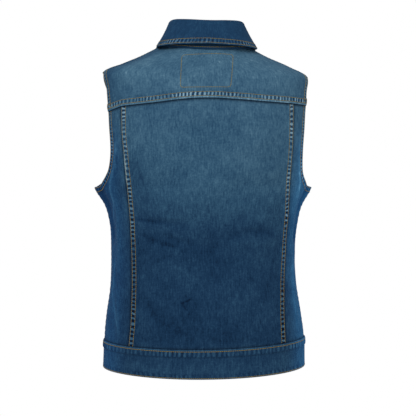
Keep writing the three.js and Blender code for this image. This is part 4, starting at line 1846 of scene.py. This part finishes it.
class NodeSheet:
    """A material's nodes, made and joined in few words."""

    def __init__(self, name: str) -> None:
        """Starts an empty material.

        Args:
            name: Material name.
        """
        self.material = bpy.data.materials.new(name)
        self.material.use_nodes = True
        self.tree = self.material.node_tree
        self.tree.nodes.clear()
        self.output = self.tree.nodes.new("ShaderNodeOutputMaterial")
        self.shader = self.tree.nodes.new("ShaderNodeBsdfPrincipled")
        self.tree.links.new(self.shader.outputs[0], self.output.inputs[0])

    def add(self, kind: str, inputs: dict | None = None, **settings: object) -> bpy.types.Node:
        """Adds a node.

        Args:
            kind: Its type after ShaderNode.
            inputs: For each input, by name or number, a socket to join or a value.
            settings: Properties of the node.

        Returns:
            The node.
        """
        node = self.tree.nodes.new("ShaderNode" + kind)
        for key, value in settings.items():
            setattr(node, key, value)
        self.join(node, inputs or {})
        return node

    def join(self, node: bpy.types.Node, inputs: dict) -> None:
        """Sets or links a node's inputs.

        Args:
            node: The node.
            inputs: For each input, by name or number, a socket to join or a value.
        """
        for key, value in inputs.items():
            if isinstance(value, bpy.types.NodeSocket):
                self.tree.links.new(value, node.inputs[key])
            else:
                node.inputs[key].default_value = value

    def mix(self, kind: str, first: object, second: object = 0.0, third: object = 0.0) -> bpy.types.NodeSocket:
        """Adds a Math node.

        Args:
            kind: Its operation.
            first: First input.
            second: Second input.
            third: Third input.

        Returns:
            Its output.
        """
        return self.add("Math", {0: first, 1: second, 2: third}, operation=kind).outputs[0]

    def ease(self, value: bpy.types.NodeSocket, low: float, high: float) -> bpy.types.NodeSocket:
        """Adds a smooth step from 0 at low to 1 at high.

        Args:
            value: What it depends on.
            low: Where it is 0.
            high: Where it is 1.

        Returns:
            Its output.
        """
        inputs = {"Value": value, "From Min": low, "From Max": high}
        return self.add("MapRange", inputs, interpolation_type="SMOOTHSTEP").outputs[0]

    def noise(
        self, vector: bpy.types.NodeSocket, scale: tuple[float, float, float], detail: float
    ) -> bpy.types.NodeSocket:
        """Adds noise on scaled coordinates.

        Args:
            vector: Coordinates.
            scale: Scale of each.
            detail: Octaves.

        Returns:
            A value from 0 to 1, about 0.5.
        """
        mapped = self.add("Mapping", {"Vector": vector, "Scale": scale}).outputs[0]
        return self.add("TexNoise", {"Vector": mapped, "Scale": 1.0, "Detail": detail}).outputs[0]

    def speckle(
        self, colour: Colour, dark: float, scale: float, detail: float
    ) -> tuple[bpy.types.NodeSocket, bpy.types.NodeSocket]:
        """Adds a colour that is mottled with a darker shade of itself.

        Args:
            colour: The colour.
            dark: How bright the shade is beside it.
            scale: Scale of the speckles.
            detail: Octaves.

        Returns:
            The noise and the mixed colour.
        """
        tone = self.noise(self.add("TexCoord").outputs["Object"], (scale,) * 3, detail)
        shade = (*(dark * c for c in colour[:3]), 1.0)
        return tone, self.add("Mix", {0: tone, 6: shade, 7: colour}, data_type="RGBA").outputs[2]


class MaterialFinish:
    """A look whose material is made once, by its name."""

    name: str

    def paint(self, sheet: NodeSheet) -> None:
        """Adds its nodes to an empty sheet."""
        raise NotImplementedError

    def material(self) -> bpy.types.Material:
        """Makes the material, or finds it.

        Returns:
            The material.
        """
        if self.name not in bpy.data.materials:
            self.paint(NodeSheet(self.name))
        return bpy.data.materials[self.name]


@dataclass(frozen=True)
class DenimFinish(MaterialFinish):
    """Washed twill: painted darker in the hollows as shade and paler where it is rubbed, with painted shade
    and shadow beside the seams, and the warp's uneven streaks.
    """

    name: str
    ramp: tuple[tuple[float, Colour], ...]
    streak: float = 0.42
    grain: float = 0.34
    slub: float = 0.14
    mottle: float = 0.20
    cloud: float = 0.22
    wear_and_shade_weight: float = 0.30
    sheen: float = 0.02
    roughness: float = 0.95
    shadow: Colour = (0.0006, 0.0022, 0.0080, 1.0)
    # Multiplier for the painted shade tint of the sides: less red, more blue.
    side: Colour = (0.50, 1.05, 1.46, 1.0)
    inside: Colour = (0.055, 0.080, 0.112, 1.0)

    def paint(self, sheet: NodeSheet) -> None:
        """Adds its nodes: a tone from the fade and its painted shading, five noises, rubbing with painted shade
        and the ripples' rubbed crests and painted troughs, read off the ramp.

        Args:
            sheet: An empty sheet.
        """
        uv = sheet.add("UVMap", uv_map="cloth").outputs[0]
        place = sheet.add("TexCoord").outputs["Object"]
        fade, cool, inside, worn, shade, run, strip, bead = (
            sheet.add("Attribute", attribute_name=name).outputs["Fac"]
            for name in ("fade", "cool", "inside", *MARKS)
        )
        streak = sheet.noise(uv, (560, 70, 1), 3)
        slub = sheet.noise(uv, (110, 900, 1), 2)
        grain = sheet.noise(place, (380, 380, 330), 3)
        mottle = sheet.noise(place, (110, 110, 90), 3)
        cloud = sheet.noise(place, (34, 34, 34), 4)
        noises = (streak, slub, grain, mottle, cloud)
        amounts = (self.streak, self.slub, self.grain, self.mottle, self.cloud)
        # The fade attribute brings the dye's fade together with painted highlights and shade on the folds and
        # painted shading of the sides.
        tone = fade
        for value, amount in zip(noises, amounts):
            tone = sheet.mix("ADD", tone, sheet.mix("MULTIPLY", sheet.mix("SUBTRACT", value, 0.5), amount))
        # Rubbed pale on the folded edges, with painted shade at the edges, in the rows of stitches and beyond
        # the laps.
        tone = sheet.mix("MULTIPLY_ADD", worn, self.wear_and_shade_weight, tone)
        wander = sheet.mix("MULTIPLY", mottle, 5.0)
        # The ripples' crests are painted paler as rubbed cloth and their troughs darker as painted shade.
        wave = sheet.mix("SINE", sheet.mix("MULTIPLY_ADD", run, 2 * math.pi, wander))
        wave = sheet.mix("MAXIMUM", sheet.mix("MINIMUM", sheet.mix("MULTIPLY", wave, 1.5), 1.0), -1.0)
        between = sheet.mix("MULTIPLY", sheet.ease(strip, -0.08, 0.08), sheet.ease(strip, 1.08, 0.92))
        size = sheet.mix("MULTIPLY", bead, between)
        tone = sheet.mix("MULTIPLY_ADD", wave, size, tone)
        ramp = sheet.add("ValToRGB", {0: tone})
        stops = ramp.color_ramp.elements
        while len(stops) < len(self.ramp):
            stops.new(0.5)
        for stop, (position, colour) in zip(stops, self.ramp):
            stop.position, stop.color = position, colour
        # Painted shade: the sides are tinted less red and more blue.
        tinted = {0: cool, 6: ramp.outputs[0], 7: self.side}
        side_shaded_colour = sheet.add("Mix", tinted, data_type="RGBA", blend_type="MULTIPLY")
        shown = sheet.add("Mix", {0: shade, 6: side_shaded_colour.outputs[2], 7: self.shadow}, data_type="RGBA")
        colour = sheet.add("Mix", {0: inside, 6: shown.outputs[2], 7: self.inside}, data_type="RGBA")
        slant = {"Vector": uv, "Rotation": (0, 0, math.radians(63)), "Scale": (1000, 1000, 1)}
        turned = sheet.add("Mapping", slant)
        twill = sheet.add("TexWave", {"Vector": turned.outputs[0], "Scale": 0.30, "Distortion": 0.6}).outputs[1]
        relief = sheet.mix("MULTIPLY_ADD", twill, 0.35, sheet.mix("MULTIPLY_ADD", grain, 0.8, streak))
        bump = sheet.add("Bump", {"Strength": 0.5, "Distance": 0.0005, "Height": relief}).outputs[0]
        sheet.join(
            sheet.shader,
            {
                "Base Color": colour.outputs[2],
                "Normal": bump,
                "Roughness": self.roughness,
                "Sheen Weight": self.sheen,
                "Sheen Roughness": 0.5,
                "Sheen Tint": (0.30, 0.55, 0.85, 1.0),
                "Specular IOR Level": 0.04,
            },
        )


@dataclass(frozen=True)
class ThreadFinish(MaterialFinish):
    """Golden sewing thread."""

    name: str = "golden_thread"
    colour: Colour = (0.185, 0.130, 0.013, 1.0)

    def paint(self, sheet: NodeSheet) -> None:
        """Adds its nodes.

        Args:
            sheet: An empty sheet.
        """
        _, colour = sheet.speckle(self.colour, 0.62, 90, 3)
        look = {"Base Color": colour, "Roughness": 0.7, "Sheen Weight": 0.02, "Specular IOR Level": 0.08}
        sheet.join(sheet.shader, look)


@dataclass(frozen=True)
class MetalFinish(MaterialFinish):
    """Brushed, aged button metal."""

    name: str = "button_metal"
    colour: Colour = (0.42, 0.34, 0.25, 1.0)

    def paint(self, sheet: NodeSheet) -> None:
        """Adds its nodes.

        Args:
            sheet: An empty sheet.
        """
        tone, colour = sheet.speckle(self.colour, 0.35, 700, 4)
        rough = sheet.mix("MULTIPLY_ADD", tone, 0.3, 0.22)
        bump = sheet.add("Bump", {"Strength": 0.3, "Distance": 0.0002, "Height": tone}).outputs[0]
        sheet.join(sheet.shader, {"Base Color": colour, "Roughness": rough, "Metallic": 1.0, "Normal": bump})


BODY_DENIM = DenimFinish(
    "washed_denim",
    (
        (0.0, (0.0006, 0.0030, 0.0110, 1.0)),
        (0.22, (0.0034, 0.0150, 0.0370, 1.0)),
        (0.32, (0.0054, 0.0204, 0.0472, 1.0)),
        (0.40, (0.0082, 0.0275, 0.0570, 1.0)),
        (0.50, (0.0125, 0.0390, 0.0730, 1.0)),
        (0.58, (0.0176, 0.0495, 0.0862, 1.0)),
        (0.70, (0.0286, 0.0695, 0.1098, 1.0)),
        (0.82, (0.0450, 0.0950, 0.1380, 1.0)),
        (1.0, (0.1300, 0.2100, 0.2650, 1.0)),
    ),
)
COLLAR_DENIM = DenimFinish(
    "collar_denim",
    (
        (0.0, (0.0008, 0.0035, 0.0120, 1.0)),
        (0.5, (0.0054, 0.0227, 0.0532, 1.0)),
        (0.7, (0.0120, 0.0400, 0.0780, 1.0)),
        (1.0, (0.0900, 0.1600, 0.2200, 1.0)),
    ),
    inside=(0.0060, 0.0230, 0.0500, 1.0),
)
THREAD = ThreadFinish()
METAL = MetalFinish()


def dress_cloth(
    piece: bpy.types.Object,
    slot: Slot,
    nodes: Sequence[str],
) -> bpy.types.Object:
    """Puts a piece of cloth in the frame, with its material.

    Args:
        piece: The cloth.
        slot: Its material slot.
        nodes: CAD nodes that it stands for.

    Returns:
        The piece.
    """
    finish = COLLAR_DENIM if slot is Slot.COLLAR else BODY_DENIM
    piece.data.materials.append(finish.material())
    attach(piece, "root")
    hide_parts(*nodes)
    LOG.info("%s: %d faces", piece.name, len(piece.data.polygons))
    return piece


@dataclass
class Sewing:
    """All rows of stitches."""

    yoke: BackYoke
    back: BackPanel
    sides: dict[int, SidePanel]
    fronts: dict[int, FrontPanel]
    placket: Placket
    band: Waistband
    collar: Collar

    def build_yoke(self) -> bpy.types.Object:
        """Two rows over its lower edge, round each armhole and along each shoulder, and the patch's outline.

        Returns:
            The rows.
        """
        surface, lines = self.yoke.surface(), self.yoke.edges()
        rows = SewnRows("stitches_yoke")
        for distance in YOKE_ROWS:
            rows.on_form(surface, offset_line(lines["seam"], distance))
        for side in (1, -1):
            for distance in EDGE_ROWS:
                rows.on_form(surface, offset_line(lines[f"armhole{side}"], side * distance)[2:])
                rows.on_form(surface, offset_line(lines[f"shoulder{side}"], side * distance)[8:])
        return rows.on_form(surface, self.patch_line()).build()

    def patch_line(self) -> Array:
        """The outline of the patch inside the yoke: a four-cornered shape with round corners.

        Returns:
            Places.
        """
        corners = np.array([[22.5, 581], [-22.7, 590], [-11.4, 486], [15.2, 483], [22.5, 581]])
        points = FORM.point(corners[:, 0], corners[:, 1])
        share = np.linspace(0, 1, 60, endpoint=False)[:, None]
        arch = np.array([-1.0, 0, 0, 0])
        lines = [
            points[k] + (points[k + 1] - points[k]) * share + np.array([0, 0, arch[k]]) * np.sin(np.pi * share)
            for k in range(4)
        ]
        ring = np.concatenate(lines)
        smooth = sum(np.roll(ring, k, axis=0) for k in range(-4, 5)) / 9
        start = np.concatenate([corners[k] + (corners[k + 1] - corners[k]) * share for k in range(4)])
        places = FORM.locate(smooth, start)
        return np.vstack([places, places[:1]])

    def build_back(self) -> bpy.types.Object:
        """Two rows beside each long seam and round the lower part of each armhole.

        Returns:
            The rows.
        """
        surface = self.back.surface()
        rows = SewnRows("stitches_back")
        for side, line in self.back.lines().items():
            shown = line[(line[:, 1] > BAND_HEIGHT) & (line[:, 1] < yoke_level(line[:, 0]))]
            for distance in SEAM_ROWS:
                rows.on_form(surface, offset_line(shown, side * distance))
        for side in (1, -1):
            cloth = self.sides[side].surface()
            hole = np.vstack([armhole_parts(side, False)[0], cut_armhole(side, 0, False)[1:]])
            for distance in EDGE_ROWS:
                rows.on_form(cloth, offset_line(hole, side * distance))
        return rows.build()

    def build_fronts(self) -> bpy.types.Object:
        """Two rows round each armhole and along the placket, and the buttonholes' bars.

        Returns:
            The rows.
        """
        rows = SewnRows("stitches_front")
        for side in (1, -1):
            cloth = self.fronts[side].surface()
            for distance in EDGE_ROWS:
                rows.on_form(cloth, offset_line(armhole(side, True), -side * distance))
        cloth = self.placket.surface()
        for x in (1, -1):
            for inset in PLACKET_ROWS:
                place = x * (self.placket.width / 2 - inset)
                rows.on_form(cloth, self.placket.line(place, BAND_HEIGHT, NECK - 4))
        for level in BUTTON_LEVELS:
            for rise in (-1.0, 1.0):
                ends = [FORM.turn_at(x, np.array(level + rise), True) % 360 for x in (-12.5, 5.0)]
                rows.on_form(cloth, np.stack([np.linspace(*ends, 20), np.full(20, level + rise)], -1), 1.0)
        return rows.build()

    def build_band(self) -> bpy.types.Object:
        """A row under its upper edge and another over the hem.

        Returns:
            The rows.
        """
        surface = self.band.surface()
        rows = SewnRows("stitches_waistband")
        for level in BAND_ROW_LEVELS:
            rows.on_form(surface, self.band.line(level)[4:-4])
        return rows.build()

    def build_collar(self) -> bpy.types.Object:
        """Two rows along the outer edge, and one on the stand above the neck seam.

        Returns:
            The rows.
        """
        rows = SewnRows("stitches_collar")
        turn = np.linspace(COLLAR_END_TURN - 1.2, -COLLAR_END_TURN + 1.2, 1200)[:, None]
        length = self.collar.edge_distance(turn)
        for distance in self.collar.pucker.rows:
            points, normal = self.collar.layer(turn, 3 - distance / length, 0.5)
            rows.along(points[:, 0], normal[:, 0])
        points, normal = self.collar.layer(turn, np.full((len(turn), 1), 0.06), -0.5)
        return rows.along(points[:, 0], -normal[:, 0]).build()

    def build(self) -> None:
        """Makes all rows."""
        for made in (self.build_yoke, self.build_back, self.build_fronts, self.build_band, self.build_collar):
            made()


@dataclass
class Studio:
    """The camera of the photograph, a pale floor and soft light."""

    eye: tuple[float, float, float] = (0.0949, 1.597, -0.279)
    turned: float = 3.4
    roll: float = 0.5
    lens: float = 79.1
    shift: float = 0.0072

    def camera(self) -> None:
        """Looks level at the back from a little to the wearer's left."""
        data = bpy.data.cameras.new("camera")
        data.lens, data.sensor_width, data.shift_x = self.lens, 36.0, self.shift
        camera = add_object("camera", data)
        angle, roll = math.radians(self.turned), math.radians(self.roll)
        forward = Vector((-math.sin(angle), -math.cos(angle), 0))
        level = forward.cross(Vector((0, 0, 1)))
        right = level * math.cos(roll) + Vector((0, 0, 1)) * math.sin(roll)
        up = right.cross(forward)
        turn = Matrix((right, up, -forward)).transposed().to_4x4()
        camera.matrix_world = Matrix.Translation(self.eye) @ turn
        bpy.context.scene.camera = camera

    def light(self, name: str, place: tuple[float, float, float], size: float, power: float) -> None:
        """Adds a soft square light that faces the jacket.

        Args:
            name: Its name.
            place: Its place.
            size: Its width.
            power: Its power in watts.
        """
        data = bpy.data.lights.new(name, "AREA")
        data.shape, data.size, data.energy = "SQUARE", size, power
        light = add_object(name, data)
        light.location = place
        light.rotation_mode = "QUATERNION"
        light.rotation_quaternion = (Vector((0, 0, -0.28)) - Vector(place)).to_track_quat("-Z", "Y")

    def floor(self) -> None:
        """Adds a round pale floor well below the hem."""
        angle = np.linspace(0, 2 * np.pi, 64, endpoint=False)
        points = np.stack([3.0 * np.cos(angle), 3.0 * np.sin(angle), np.full(64, -1.37)], -1)
        mesh = bpy.data.meshes.new("floor")
        mesh.from_pydata(points.tolist(), [], [list(range(64))])
        floor = add_object("floor", mesh)
        sheet = NodeSheet("pale_floor")
        sheet.join(sheet.shader, {"Base Color": (0.8, 0.8, 0.8, 1.0), "Roughness": 0.9})
        mesh.materials.append(sheet.material)

    def build(self) -> None:
        """Sets up everything but the jacket."""
        scene = bpy.context.scene
        world = bpy.data.worlds.new("studio")
        world.use_nodes = True
        world.node_tree.nodes["Background"].inputs[0].default_value = (1, 1, 1, 1)
        world.node_tree.nodes["Background"].inputs[1].default_value = 1.0
        scene.world = world
        scene.view_settings.view_transform = "Standard"
        self.camera()
        self.floor()
        self.light("key", (1.5, 2.4, 1.7), 1.3, 95)
        self.light("fill", (-2.0, 2.0, 0.3), 1.6, 22)


def main() -> None:
    """Builds the jacket in order and reports each piece."""
    logging.basicConfig(level=logging.INFO, format="%(message)s", stream=sys.stdout)
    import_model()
    Studio().build()
    yoke, back, band, collar = BackYoke(), BackPanel(), Waistband(), Collar()
    sides = {side: SidePanel(side) for side in (1, -1)}
    fronts = {side: FrontPanel(side) for side in (1, -1)}
    under = Placket("button_placket", PLACKET_WIDTH, 0.0, (0.032, 0.47))
    over = Placket("buttonhole_placket", PLACKET_WIDTH + 2 * PLACKET_COVER, PLACKET_BASE, (0.036, 0.47))
    for part in (yoke, back, *sides.values(), *fronts.values(), under, over, band, collar):
        part.build()
    placket_out = PLACKET_BASE + over.cloth + 0.2
    buttons = [Button(f"button_{i + 1}", level, placket_out) for i, level in enumerate(BUTTON_LEVELS)]
    buttons.append(Button("waistband_button", BAND_HEIGHT / 2, band.cloth + band.overlap))
    for button in buttons:
        piece = button.build()
        piece.data.materials.append(METAL.material())
        LOG.info("%s: %d faces", piece.name, len(piece.data.polygons))
    Sewing(yoke, back, sides, fronts, over, band, collar).build()


if __name__ == "__main__":
    main()
